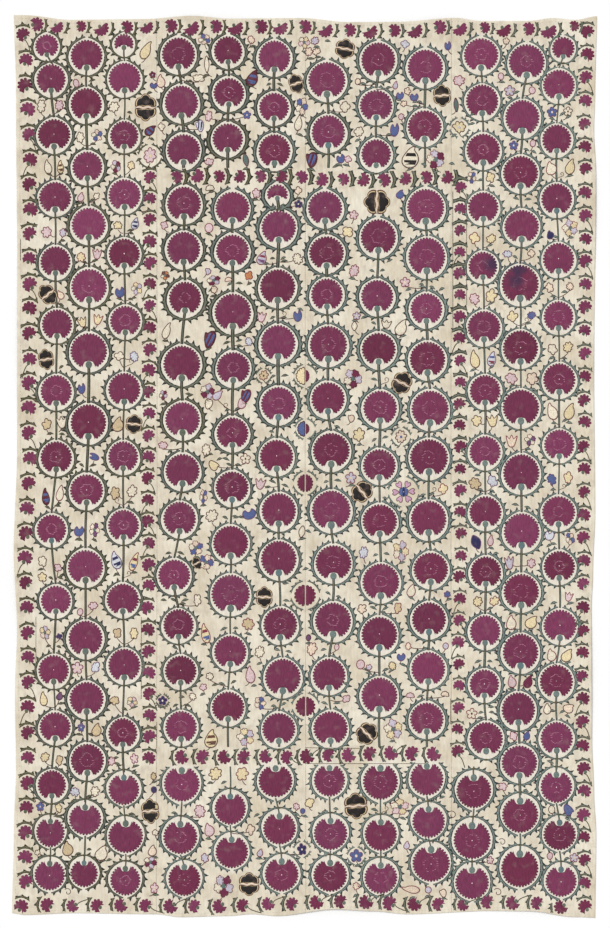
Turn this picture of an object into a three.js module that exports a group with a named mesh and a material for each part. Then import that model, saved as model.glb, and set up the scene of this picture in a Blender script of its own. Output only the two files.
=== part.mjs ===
// A suzani: four loom widths of cotton sewn edge to edge, embroidered with silk, lying flat and face up.
// Millimetres. +X runs across the cloth, +Y towards its upper edge, +Z up out of the embroidered face.
// The origin is at the middle of the outline's box, on the surface that the cloth lies on.

import * as THREE from 'three';

// Driving dimensions
const HALF_LENGTH = 1240;         // nominal half length, before the uneven ends
const CLOTH_THICKNESS = 1.6;      // cotton with the laid silk on its face
const HEM_WIDTH = 12;             // turned-in edge round the outside
const HEM_EXTRA = 0.6;            // how much thicker the turned-in edge is
const SEAM_GAP = 0.3;             // between the edges of two panels that are sewn together
const COLUMNS = 9;                // cells across a panel, besides its hem
const ROWS = 46;                  // cells along a panel, besides its hems

// The outer edges, as uneven as handwork leaves them: x where the cloth ends, by height up the cloth
const LEFT_EDGE = [
  { up: -1247, x: -808 },
  { up: -1010, x: -803 },
  { up: -845, x: -797 },
  { up: -625, x: -800 },
  { up: -455, x: -794 },
  { up: -235, x: -803 },
  { up: 40, x: -794 },
  { up: 540, x: -794 },
  { up: 1035, x: -797 },
  { up: 1247, x: -803 },
];
const RIGHT_EDGE = [
  { up: -1247, x: 803 },
  { up: -1010, x: 806 },
  { up: -900, x: 800 },
  { up: -735, x: 794 },
  { up: -400, x: 792 },
  { up: -290, x: 797 },
  { up: -125, x: 803 },
  { up: 260, x: 800 },
  { up: 815, x: 805 },
  { up: 925, x: 800 },
  { up: 1035, x: 803 },
  { up: 1247, x: 808 },
];

// The three seams, each nearly straight
const SEAMS = [
  [{ up: -1247, x: -409 }, { up: 0, x: -407 }, { up: 1247, x: -408 }],
  [{ up: -1247, x: 4 }, { up: 0, x: 2 }, { up: 1247, x: 3 }],
  [{ up: -1247, x: 407 }, { up: 0, x: 405 }, { up: 1247, x: 406 }],
];

// The two ends: how far up the cloth ends, by place across it
const TOP_END = [
  { x: -808, up: 1247 },
  { x: -775, up: 1247 },
  { x: -645, up: 1234 },
  { x: -445, up: 1236 },
  { x: -310, up: 1245 },
  { x: -210, up: 1237 },
  { x: -10, up: 1239 },
  { x: 120, up: 1228 },
  { x: 255, up: 1228 },
  { x: 420, up: 1239 },
  { x: 485, up: 1231 },
  { x: 620, up: 1231 },
  { x: 685, up: 1239 },
  { x: 750, up: 1234 },
  { x: 808, up: 1244 },
];
const BOTTOM_END = [
  { x: -808, up: -1234 },
  { x: -775, up: -1239 },
  { x: -640, up: -1234 },
  { x: -410, up: -1237 },
  { x: -345, up: -1245 },
  { x: -210, up: -1242 },
  { x: -145, up: -1237 },
  { x: -80, up: -1242 },
  { x: 85, up: -1223 },
  { x: 185, up: -1228 },
  { x: 285, up: -1237 },
  { x: 520, up: -1228 },
  { x: 620, up: -1228 },
  { x: 750, up: -1245 },
  { x: 808, up: -1247 },
];

// Low, soft ridges where the cloth does not lie quite flat: middle, direction in degrees, size and height
const RIDGES = [
  { x: -800, up: 330, turn: 78, long: 620, wide: 90, high: 4 },
  { x: -790, up: -330, turn: 96, long: 420, wide: 80, high: 5 },
  { x: -420, up: 620, turn: 90, long: 760, wide: 70, high: 3 },
  { x: -412, up: -760, turn: 91, long: 640, wide: 70, high: 3 },
  { x: 10, up: 880, turn: 89, long: 520, wide: 70, high: 3 },
  { x: 0, up: -250, turn: 90, long: 820, wide: 60, high: 3 },
  { x: 412, up: 300, turn: 90, long: 900, wide: 70, high: 3 },
  { x: 404, up: -880, turn: 92, long: 480, wide: 80, high: 3 },
  { x: 790, up: 700, turn: 84, long: 460, wide: 90, high: 4 },
  { x: 795, up: -560, turn: 95, long: 560, wide: 100, high: 5 },
  { x: -250, up: 1225, turn: 4, long: 380, wide: 90, high: 4 },
  { x: 330, up: 1230, turn: -5, long: 420, wide: 80, high: 4 },
  { x: 90, up: -1225, turn: 3, long: 460, wide: 90, high: 5 },
  { x: 640, up: -1235, turn: -4, long: 300, wide: 80, high: 4 },
];

const COTTON = 0xded2be;

// Eases between the rows of a table, so that no edge overshoots its own rows
function valueAt(table, place, column, value) {
  const last = table.length - 1;
  if (place <= table[0][column]) {
    return table[0][value];
  }
  if (place >= table[last][column]) {
    return table[last][value];
  }
  const next = table.findIndex((row) => row[column] >= place);
  const before = table[next - 1];
  const after = table[next];
  const share = (place - before[column]) / (after[column] - before[column]);
  return THREE.MathUtils.lerp(before[value], after[value], THREE.MathUtils.smoothstep(share, 0, 1));
}

// Height of the underside: nought where the cloth touches, raised along each ridge
function liftAt(x, y) {
  let lift = 0;
  for (const ridge of RIDGES) {
    const turn = THREE.MathUtils.degToRad(ridge.turn);
    const along = (x - ridge.x) * Math.cos(turn) + (y - ridge.up) * Math.sin(turn);
    const across = (y - ridge.up) * Math.cos(turn) - (x - ridge.x) * Math.sin(turn);
    const away = Math.hypot(along / (ridge.long / 2), across / ridge.wide);
    lift = Math.max(lift, ridge.high * (1 - THREE.MathUtils.smoothstep(away, 0, 1)));
  }
  return lift;
}

// Shares of a length at which the grid has a line: one at each hem, the others evenly between
function gridShares(length, cells, hemAtStart, hemAtEnd) {
  const start = hemAtStart ? HEM_WIDTH / length : 0;
  const end = hemAtEnd ? 1 - HEM_WIDTH / length : 1;
  const shares = Array.from({ length: cells + 1 }, (_, i) => THREE.MathUtils.lerp(start, end, i / cells));
  if (hemAtStart) {
    shares.unshift(0);
  }
  if (hemAtEnd) {
    shares.push(1);
  }
  return shares;
}

// A point of the cloth's flat outline, by its share across one panel and its share up the cloth
function placeAt(panel, across, upward) {
  const height = THREE.MathUtils.lerp(-HALF_LENGTH, HALF_LENGTH, upward);
  const left = valueAt(panel.left, height, 'up', 'x') + panel.leftGap;
  const right = valueAt(panel.right, height, 'up', 'x') - panel.rightGap;
  const x = THREE.MathUtils.lerp(left, right, across);
  const bottom = valueAt(BOTTOM_END, x, 'x', 'up');
  const top = valueAt(TOP_END, x, 'x', 'up');
  return { x, y: THREE.MathUtils.lerp(bottom, top, upward) };
}

// The closed sheet of one panel: an upper and a lower grid of points, and a rim round them
function panelGeometry(panel) {
  const columns = gridShares(panel.width, COLUMNS, panel.hemAtLeft, panel.hemAtRight);
  const rows = gridShares(2 * HALF_LENGTH, ROWS, true, true);
  const across = columns.length;
  const layer = across * rows.length;
  const lower = [];
  const upper = [];
  rows.forEach((upward, row) => {
    columns.forEach((share, column) => {
      const { x, y } = placeAt(panel, share, upward);
      const atEnd = row === 0 || row === rows.length - 1;
      const atLeft = panel.hemAtLeft && column === 0;
      const atRight = panel.hemAtRight && column === across - 1;
      const thickness = CLOTH_THICKNESS + (atEnd || atLeft || atRight ? HEM_EXTRA : 0);
      const lift = liftAt(x, y);
      lower.push(x, y, lift);
      upper.push(x, y, lift + thickness);
    });
  });
  const faces = [];
  for (let row = 0; row < rows.length - 1; row += 1) {
    for (let column = 0; column < across - 1; column += 1) {
      const a = row * across + column;
      const b = a + 1;
      const c = a + across + 1;
      const d = a + across;
      faces.push(a, c, b, a, d, c);
      faces.push(layer + a, layer + b, layer + c, layer + a, layer + c, layer + d);
    }
  }
  const rim = rimLoop(across, rows.length);
  rim.forEach((from, i) => {
    const to = rim[(i + 1) % rim.length];
    faces.push(from, to, layer + to, from, layer + to, layer + from);
  });
  const geometry = new THREE.BufferGeometry();
  geometry.setAttribute('position', new THREE.Float32BufferAttribute([...lower, ...upper], 3));
  geometry.setIndex(faces);
  geometry.computeVertexNormals();
  return geometry;
}

// The grid's outer points in order, anticlockwise seen from above
function rimLoop(across, along) {
  const loop = [];
  for (let column = 0; column < across - 1; column += 1) {
    loop.push(column);
  }
  for (let row = 0; row < along - 1; row += 1) {
    loop.push(row * across + across - 1);
  }
  for (let column = across - 1; column > 0; column -= 1) {
    loop.push((along - 1) * across + column);
  }
  for (let row = along - 1; row > 0; row -= 1) {
    loop.push(row * across);
  }
  return loop;
}

// The four panels, from left to right, each between two of the five long edges
function panelList() {
  const edges = [LEFT_EDGE, ...SEAMS, RIGHT_EDGE];
  return edges.slice(1).map((right, i) => {
    const left = edges[i];
    const isFirst = i === 0;
    const isLast = i === edges.length - 2;
    return {
      name: `panel_${i + 1}`,
      left,
      right,
      leftGap: isFirst ? 0 : SEAM_GAP / 2,
      rightGap: isLast ? 0 : SEAM_GAP / 2,
      hemAtLeft: isFirst,
      hemAtRight: isLast,
      width: valueAt(right, 0, 'up', 'x') - valueAt(left, 0, 'up', 'x'),
    };
  });
}

const suzani = new THREE.Group();
for (const panel of panelList()) {
  const cotton = new THREE.MeshStandardMaterial({ color: COTTON, roughness: 0.9, metalness: 0 });
  const mesh = new THREE.Mesh(panelGeometry(panel), cotton);
  mesh.name = panel.name;
  suzani.add(mesh);
}

export default suzani;
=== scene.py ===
"""A suzani: cream cotton in four loom widths, embroidered in silk with crimson blossoms in green wreaths.

The cloth lies flat, face up. Tables are in millimetres on the flat cloth, x to the right and up towards
its upper edge, and become metres when the meshes are made.
"""
import math

import bpy
import numpy as np
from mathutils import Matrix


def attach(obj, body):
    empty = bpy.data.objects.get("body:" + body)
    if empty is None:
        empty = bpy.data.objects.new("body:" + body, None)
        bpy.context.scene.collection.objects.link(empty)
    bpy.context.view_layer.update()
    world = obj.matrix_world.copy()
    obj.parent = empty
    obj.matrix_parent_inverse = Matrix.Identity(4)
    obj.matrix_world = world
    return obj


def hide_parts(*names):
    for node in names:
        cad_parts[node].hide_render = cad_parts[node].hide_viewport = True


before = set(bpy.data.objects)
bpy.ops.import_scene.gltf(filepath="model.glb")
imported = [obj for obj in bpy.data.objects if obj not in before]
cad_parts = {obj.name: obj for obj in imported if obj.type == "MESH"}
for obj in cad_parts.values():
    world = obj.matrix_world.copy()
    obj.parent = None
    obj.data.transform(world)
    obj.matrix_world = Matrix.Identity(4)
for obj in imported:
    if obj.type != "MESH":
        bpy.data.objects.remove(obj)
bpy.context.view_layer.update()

MM = 0.001
BODY = "root"

# The cotton
HALF_LENGTH = 1240          # nominal half length, before the uneven ends
COTTON_THICKNESS = 0.9
HEM_WIDTH = 10              # turned-in edge
HEM_EXTRA = 0.6             # how much thicker the turned-in edge is
HEM_SLOPE = 3               # width over which that falls off
EDGE_ROLL = (0.3, 2)        # how far the outer edge dips, and over which width
SEAM_GAP = 0.3              # between two loom widths
SEAM_ROLL = (0.35, 4)       # how far a sewn edge dips, and over which width
GRID_STEP = 12.5            # size of the ground's cells
HEM_LINES = [0, 2, HEM_WIDTH - 1, HEM_WIDTH + 3.5]     # grid lines near a hem, from the edge
SEAM_LINES = [0, 1.5, 4.5]                             # grid lines near a seam, from the edge
PUCKER = 0.45               # height of the small unevenness that stitching leaves
PUCKER_WAVES = [(83, 20, 0.4), (97, 75, 1.9), (121, 130, 3.1), (67, 160, 5.0)]   # length, turn, phase
CLEAN_INSET = 7             # how far inside a wreath's edge the paler cotton starts to fade
CLEAN_FADE = 11             # and over which width

# The silk: heights above the cotton
SINK = 0.06                 # how far the stitches bite into the cotton
ROSETTE_RISE = 0.8
LEAF_RISE = 0.65
LEAF_EDGE_RISE = 0.5
FILLER_RISE = 0.55
OUTLINE_RISE = 0.8
PALE_RISE = 1.15            # dots and dashes on a blossom
THIN_RISE = 0.55            # stalks and curls
TENDRIL_RISE = 0.6
VINE_RISE = 0.45
BAR_RISE = 0.8
FAN_CALYX_RISE = 0.85
HEART_RISE = 0.9            # the dot in a filler flower
CHAIN_LINK = 3.2            # length of one chain stitch
CHAIN_WIDTH = 3.2
POSY_CHAIN = 2.4
HEART_CHAIN = 2.6
LINK_HALVES = (0.36, 0.58)  # half width at a link's ends and at its middle, in shares of the chain's width

# Padding: rings inside an outline, each its share of the size and its share of the height
PAD = ((0.86, 0.75), (0.5, 1.0))
BLOSSOM_PAD = ((0.94, 0.7), (0.62, 0.95))
STEEP_PAD = ((0.96, 0.85), (0.5, 1.0))
DOT_PAD = ((0.7, 0.95),)
STRIPE_PAD = ((0.8, 0.9),)
BLOSSOM_RIM_SHADE = 0.5           # painted shade: how dark a blossom is at the sloping rim of its padding
# painted shade at the sloping rim of a calyx's padding
CALYX_RIM_SHADE = 0.4

# Blossoms: lengths in millimetres, and places in shares of the radius
TOOTH_PITCH = 8.8
TOOTH_DEPTH = 5.4
TOOTH_SHAPE = [(0, -0.6), (0.19, 0.12), (0.5, 0.4), (0.81, 0.12)]   # share of the pitch, share of the depth
TOOTH_SPREAD = (0.75, 1.25)
NOTCH_ANGLE = 52            # opening at the calyx, in degrees
HOOKED_BASE = [             # the base from its hooked left end to its middle
    (-0.46, -0.94), (-0.4, -0.83), (-0.37, -0.94), (-0.3, -0.76), (-0.22, -0.62), (0, -0.56)]
HEART = (0, 0.1)            # the middle that the outline is drawn round
HALF_BLOSSOM = 29           # a blossom smaller than this shows only its upper half
HALF_BASE = [               # its base from the left end to the middle
    (-0.84, -0.55), (-0.6, -0.26), (-0.42, -0.36), (-0.3, -0.18), (0, -0.12)]
HALF_OPENING = 116
HALF_HEART = (0, 0.4)
HALF_CALYX = -0.42
BLOSSOM_STRETCH = (0.975, 1.025)
CALYX_PLACE = -0.77
CALYX_RADIUS = 0.2
SMALLEST_CALYX = 7
BLUE_SHARE = 0.1            # how many calyxes are blue
DOT_SHARE = 0.6             # how many blossoms have a dot at their middle
DOT_RADIUS = (1.2, 2.2)
DASH_SHARES = (0.3, 0.6)    # how many have a ring of dashes, in the left and in the right half
DASH_MIDDLE = 0.03
DASH_REACH = (0.3, 0.4)
DASH_STEP = 20              # degrees from one dash to the next
DASH_KEPT = 0.8             # how many dashes are not worn away
DASH_STRAY = (0.86, 1.14)
DASH_HALF = (2.0, 3.6)
DASH_SLANT = 0.5
DASH_HALF_WIDTH = 1.3

# Wreaths and stems
GREEN_START = -520          # x where wreaths start to turn from olive to grey, and over which width
GREEN_SPAN = 700
GREEN_SLANT = 0.18          # how far that place moves for each millimetre up
GREEN_DRIFT = (-0.2, 0.2)
GREEN_SPREAD = (-0.12, 0.12)
BLUE_DRIFT = (0, 0.35)      # how far a wreath turns from green to blue
ARM_GAP = 5.6               # from the blossom's edge to an arm's inner edge, with the teeth
ARM_SPREAD = (0.88, 1.15)   # how much thinner or thicker the arms of a wreath may be
ARM_START = 3               # degrees from the calyx to an arm's start, and the same close to a border
CLOSE_ARM_START = 36
ARM_SHORT = (3, 6)          # degrees by which an arm stops short of the half turn
ARM_FLARE = (1.5, 0.88)     # how far an arm's tip turns out, and from which share of its length
ARM_WAVER = 0.8
ARM_TAPER = 0.34            # width of an arm's ends, in shares of its middle
ARCH_TAPER = 0.12
WREATH_DROP = 3.0           # how much farther off the wreath is below the blossom than beside it
THORN = 10
THORN_PITCH = 4.4           # a wreath's arm has one thorn for each such part of the radius
FEWEST_THORNS = 6
THORN_PLACES = (0, 0.18, 0.72, 0.79)    # a thorn's start, foot, tip and end, in shares of its step
THORN_SPREAD = (0.6, 1.25)
LEAF_SPREAD = (0.85, 1.15)
BAR_REACH = 10              # half length of a cross-bar, and its half widths
BAR_HALVES = np.array((1.2, 3.2, 1.2))
STEM_START = 0.8            # where stems start below the middle, and the same for a half blossom
HALF_STEM_START = 0.4
STEM_SHARE = 0.78           # a stem's width in shares of the arms' width
STEM_SPREAD = (0.85, 1.1)
STEM_SWAY = 1.5
STEM_GAP = 5                # from a stem's end to the next blossom's edge
THIN_STEM = 5.0             # width of the stems of the turned blossoms
THIN_STEM_END = 1.05        # where these end below the blossom before, in shares of its radius
DARK_EDGE = 0.3             # how dark a leaf is at its edges, and how light along its middle
LIGHT_MIDDLE = 1.45
LIGHT_SHARE = 0.72          # width of the light middle, in shares of the leaf's width
WIDTH_CHANGE = 450          # from this far up to this far down, widths change from upper to lower
UPPER_STOP = 825            # where stems end above the inner borders, and start below the lower one
LOWER_STOP = -775
LOWER_START = -829

# Borders: places in shares of a half blossom's half width
FAN = {"base": [(-0.66, -0.88), (-0.4, -0.54), (-0.2, -0.36), (0, -0.3), (0.2, -0.36), (0.4, -0.54),
                (0.66, -0.88)],
       "heart": 0.1, "foot": -0.55, "start": -38, "growth": 1, "shift": (0, 0)}
CRESCENT = {"base": [(-0.92, -0.2), (-0.6, -0.22), (-0.3, -0.16), (0, -0.12), (0.3, -0.16), (0.6, -0.28),
                     (1.0, -0.5)],
            "heart": 0.3, "foot": -0.34, "start": -10, "growth": 1.22, "shift": (-8, -2)}
CRESCENT_LEAN = -35         # a half blossom that leans farther than this is a crescent
FAN_SPREAD = (0.94, 1.06)
FAN_ROOM = 0.86             # widest half blossom, in shares of its distance from the outer edge
FAN_EDGE = 0.96             # radius of its toothed edge, and depth of its teeth
FAN_TOOTH = 0.3
FAN_TEETH = 7
FAN_CALYX = 0.27
FAN_STRAY = 2               # how far it may stand off its line, and lean more or less in degrees
FAN_SWING = 7
EDGE_ROOM = 4               # how far arches and vines keep from the outer edge
ARCH_GAP = 4                # from a half blossom to its arch
ARCH_LEAN = 0.15            # how much of the half blossom's lean its arch has
ARCH_ENDS = [(54, 54), (54, 44), (44, 54), (54, 34), (34, 54), (44, 34), (34, 44), (30, 30)]   # degrees
ARCH_THORNS = 3
ARCH_THORN = 7
VINE_START = -0.7
VINE_END = (0.8, 0.6)       # in shares of the arch's radius
VINE_BEND = (0.6, 1.4)
VINE_HALF_WIDTH = 1.5

# Fillers, leaves and sewing
STALK_REACH = 62            # farthest stem that a filler's stalk runs to
STALK_SAG = 3.0
STALK_HALF_WIDTH = 1.2
CURL_HALF_WIDTH = 0.95
TENDRIL_HALF_WIDTH = 1.1
LEAF_HALVES = np.array((0.6, 2.4, 4.2, 4.2, 2.6, 0.3))      # half widths of a small leaf along its length
LEAF_BOW = 2.5
SPRIG_CURLS = 0.12          # how many sprigs are curls
STALK_LEAVES = 0.6          # how many stalks have a leaf
LOOSE_LEAVES = 900          # how many places are tried for leaves on bare ground
LOOSE_REACH = (740, 1180)
RING_REACH = 0.68           # radius of the thorny arcs round a flower, in shares of its size
RING_WIDTH = 5
RING_THORN = 5.5
ROSE_SHARE = 0.25           # how many pale fillers have a rose outline
CLEFT_DEPTH = (0.05, 0.4)   # of an uneven flower, in shares of its size
CLEFT_WIDTH = 16            # in degrees
SEAM_STITCH_STEP = 7
SEAM_STITCH_REACH = 1.7
SEAM_STITCH_HALF_WIDTH = 0.5
SEAM_STITCH_HEIGHTS = (0.1, 0.45, 0.1)
SEAM_ENDS = (-1220, 1224)
SEAM_MIDDLES = (-408, 3, 406)
SEAM_SIDE = 6               # from a seam to a place that is surely on one panel
SEAM_INSET = 1.2            # from the seam to each half of a parted flower
HEM_STITCH = {"step": 9, "length": 4.5, "colour": "sewing", "width": 0.55, "height": 0.4}
LINE_STITCH = {"step": 4.2, "length": 3.9, "colour": "line", "width": 1.2, "height": 0.5}

# Texture places
BAKE_REACH = 1250
BAKE_MARGIN = 60
BAKE_CHUNKS = 3
BAKE_SPLIT = 0.8            # the cotton's upper face lies left of this, its underside right
BAKE_GAP = 0.01             # between two lengths of a panel
PANEL_REACH = [(-820, -340), (-480, 70), (-70, 480), (340, 820)]

# Colours of the cotton and of worn silk, as 0 to 255
COTTON_CLEAN = (235, 228, 215)
COTTON_LIGHT = (237, 229, 210)
COTTON_AGED = (217, 204, 180)
COTTON_SOILED = (190, 176, 157)
WORN_SILK = (150, 128, 122)
INK = (52, 40, 70)
CLEAN_STRENGTH = 0.75

# Clouds in a material: scale, detail, the span of the noise that is used, and what it turns into
AGED_CLOUDS = (9, 5, (0.35, 0.65), (0, 1))
SOILED_CLOUDS = (34, 5, (0.52, 0.78), (0, 0.6))
SLUB_CLOUDS = (160, 3, (0.3, 0.7), (0.9, 1.06))
SLUB_STRETCH = (1, 0.25, 1)
WORN_CLOUDS = (45, 4, (0.55, 0.8), (0, 0.35))
STAIN_CLOUDS = (50, 3, (0.3, 0.7), (0.7, 1.4))
STRANDS = {"crimson": (9, 1, 1), "green": (4, 4, 1), "mixed": (5, 5, 1)}   # stretch of the strands
STRAND_SCALE = 60
STRAND_SPAN = (0.3, 0.7)
STRAND_TONES = (0.72, 1.24)
WARP_PITCH = 0.9            # from thread to thread of the cotton
WEFT_PITCH = 1.0
WAVE_RATE = 20              # radians that a wave texture of scale one runs through in a metre

# Studio
FLOOR_LEVEL = -0.0006
FLOOR_REACH = 6.0
FLOOR_COLOUR = (0.98, 0.98, 0.98, 1)
SKY_STRENGTH = 0.62
SUN_STRENGTH = 1.55
SUN_SOFTNESS = 25           # degrees
SUN_TURN = (-22, -28, 0)
SENSOR = 36
CAMERA_HEIGHT = 10.0
VIEW_HEIGHT = 2.5644        # metres of the cloth's plane from the picture's foot to its top
CAMERA_PLACE = (0.0014, 0.0069)

# Edges of the cloth, as uneven as handwork leaves them: (up, x) down the sides, (x, up) along the ends
LEFT_EDGE = [(-1247, -808), (-1010, -803), (-845, -797), (-625, -800), (-455, -794), (-235, -803),
             (40, -794), (540, -794), (1035, -797), (1247, -803)]
RIGHT_EDGE = [(-1247, 803), (-1010, 806), (-900, 800), (-735, 794), (-400, 792), (-290, 797),
              (-125, 803), (260, 800), (815, 805), (925, 800), (1035, 803), (1247, 808)]
SEAMS = [
    [(-1247, -409), (0, -407), (1247, -408)],
    [(-1247, 4), (0, 2), (1247, 3)],
    [(-1247, 407), (0, 405), (1247, 406)],
]
TOP_END = [(-808, 1247), (-775, 1247), (-645, 1234), (-445, 1236), (-310, 1245), (-210, 1237),
           (-10, 1239), (120, 1228), (255, 1228), (420, 1239), (485, 1231), (620, 1231),
           (685, 1239), (750, 1234), (808, 1244)]
BOTTOM_END = [(-808, -1234), (-775, -1239), (-640, -1234), (-410, -1237), (-345, -1245),
              (-210, -1242), (-145, -1237), (-80, -1242), (85, -1223), (185, -1228), (285, -1237),
              (520, -1228), (620, -1228), (750, -1245), (808, -1247)]

# Low, soft ridges of the cloth: x, up, direction in degrees, length, half width, height
RIDGES = [
    (-800, 330, 78, 620, 90, 4),
    (-790, -330, 96, 420, 80, 5),
    (-420, 620, 90, 760, 70, 3),
    (-412, -760, 91, 640, 70, 3),
    (10, 880, 89, 520, 70, 3),
    (0, -250, 90, 820, 60, 3),
    (412, 300, 90, 900, 70, 3),
    (404, -880, 92, 480, 80, 3),
    (790, 700, 84, 460, 90, 4),
    (795, -560, 95, 560, 100, 5),
    (-250, 1225, 4, 380, 90, 4),
    (330, 1230, -5, 420, 80, 4),
    (90, -1225, 3, 460, 90, 5),
    (640, -1235, -4, 300, 80, 4),
]

# The field: columns of blossoms from the top down, each (x, up, radius). None is where a border crosses.
# The last "turned" blossoms of each column stand the other way up, and "arm" is the width of its wreaths'
# arms in the upper and in the lower part of the cloth.
COLUMNS = [
    {"arm": (8.4, 8.2), "turned": 2, "blossoms": [
        (-712, 1162, 31), (-700, 1070, 40), (-692, 917, 43), (-689, 743, 43), (-688, 566, 41),
        (-684, 392, 41), (-686, 208, 43), (-686, 25, 43), (-699, -174, 40), (-687, -370, 40),
        (-693, -563, 41), (-689, -720, 41), (-698, -880, 39), (-702, -1011, 39), (-704, -1129, 41),
    ]},
    {"arm": (10.6, 9.6), "turned": 2, "blossoms": [
        (-602, 1135, 43), (-603, 1001, 43), (-600, 828, 41), (-596, 668, 46), (-595, 497, 48),
        (-596, 319, 49), (-597, 121, 49), (-602, -66, 44), (-605, -278, 47), (-605, -475, 47),
        (-602, -642, 46), (-600, -812, 45), (-606, -975, 43), (-609, -1124, 37),
    ]},
    {"arm": (7.8, 8.2), "turned": 3, "blossoms": [
        (-499, 1168, 26), (-497, 1072, 43), (-498, 914, 39), (-497, 750, 43), (-498, 587, 42),
        (-495, 402, 41), (-498, 213, 44), (-501, 27, 41), (-500, -163, 42), (-502, -367, 43),
        (-498, -549, 44), (-502, -737, 40), (-499, -892, 42), (-494, -1022, 46), (-495, -1143, 41),
    ]},
    {"arm": (12, 8.2), "turned": 3, "blossoms": [
        (-348, 1139, 45), (-340, 1005, 46), (-334, 874, 44), None, (-333, 726, 46), (-334, 601, 46),
        (-330, 465, 44), (-339, 283, 50), (-337, 130, 47), (-337, -12, 46), (-345, -144, 45),
        (-360, -301, 43), (-348, -438, 42), (-342, -565, 42), (-341, -720, 43), None, (-339, -877, 48),
        (-343, -1024, 46), (-332, -1141, 44),
    ]},
    {"arm": (12, 8), "turned": 2, "blossoms": [
        (-211, 1148, 39), (-209, 1032, 41), (-212, 906, 41), None, (-199, 714, 45), (-199, 596, 44),
        (-198, 426, 50), (-197, 272, 44), (-199, 92, 43), (-200, -58, 44), (-204, -211, 47),
        (-204, -352, 52), (-205, -512, 44), (-211, -665, 43), None, (-205, -945, 43),
        (-201, -1065, 44),
    ]},
    {"arm": (12, 8.2), "turned": 3, "blossoms": [
        (-83, 1131, 44), (-84, 992, 40), (-83, 872, 44), None, (-75, 752, 27), (-71, 661, 46),
        (-74, 496, 48), (-73, 341, 48), (-72, 172, 47), (-77, 28, 45), (-71, -122, 47),
        (-71, -256, 49), (-67, -437, 46), (-60, -582, 49), (-71, -725, 44), None, (-80, -869, 45),
        (-69, -1000, 44), (-63, -1127, 46),
    ]},
    {"arm": (10.6, 8.8), "turned": 3, "blossoms": [
        (62, 1067, 50), (66, 923, 46), None, (57, 714, 46), (61, 590, 46), (62, 475, 43),
        (66, 336, 51), (65, 187, 45), (74, 44, 49), (74, -121, 53), (80, -266, 48), (79, -426, 49),
        (68, -577, 45), (72, -723, 46), None, (69, -867, 43), (72, -1014, 45), (71, -1130, 45),
    ]},
    {"arm": (11.2, 8.8), "turned": 3, "blossoms": [
        (204, 1123, 47), (198, 997, 43), (198, 863, 40), None, (204, 634, 48), (201, 470, 44),
        (205, 324, 45), (209, 162, 46), (207, 3, 44), (208, -151, 46), (211, -319, 50),
        (207, -464, 48), (207, -633, 49), None, (210, -871, 48), (211, -1017, 44), (211, -1136, 44),
    ]},
    {"arm": (10.8, 9.2), "turned": 3, "blossoms": [
        (334, 1103, 48), (332, 939, 45), None, (335, 716, 50), (338, 580, 51), (337, 435, 43),
        (340, 296, 48), (347, 159, 50), (344, 24, 51), (343, -145, 49), (349, -284, 46),
        (344, -422, 46), (342, -559, 46), (338, -698, 45), None, (338, -863, 45), (343, -981, 44),
        (350, -1097, 50),
    ]},
    {"arm": (7.6, 9), "turned": 3, "blossoms": [
        (488, 1137, 46), (491, 1010, 44), (494, 874, 45), (494, 716, 41), (493, 553, 39),
        (496, 385, 44), (499, 209, 42), (499, 41, 42), (500, -126, 43), (501, -292, 42),
        (499, -455, 42), (497, -602, 40), (502, -752, 45), None, (468, -896, 47), (463, -1032, 51),
        (463, -1150, 45),
    ]},
    {"arm": (8.2, 9.8), "turned": 2, "blossoms": [
        (614, 1118, 48), (602, 964, 47), (597, 811, 47), (600, 663, 46), (596, 504, 51),
        (597, 327, 48), (598, 163, 49), (599, -18, 50), (600, -180, 49), (599, -346, 48),
        (597, -513, 49), (591, -672, 46), (594, -818, 47), (596, -962, 49), (595, -1110, 51),
    ]},
    {"arm": (7.2, 7.8), "turned": 3, "blossoms": [
        (715, 1156, 30), (703, 1054, 42), (697, 903, 40), (697, 739, 42), (702, 573, 43),
        (702, 414, 41), (704, 240, 44), (704, 60, 41), (702, -126, 44), (704, -276, 42),
        (706, -440, 44), (696, -594, 45), (697, -751, 44), (696, -885, 43), (705, -1017, 43),
        (709, -1146, 42),
    ]},
]

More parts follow.
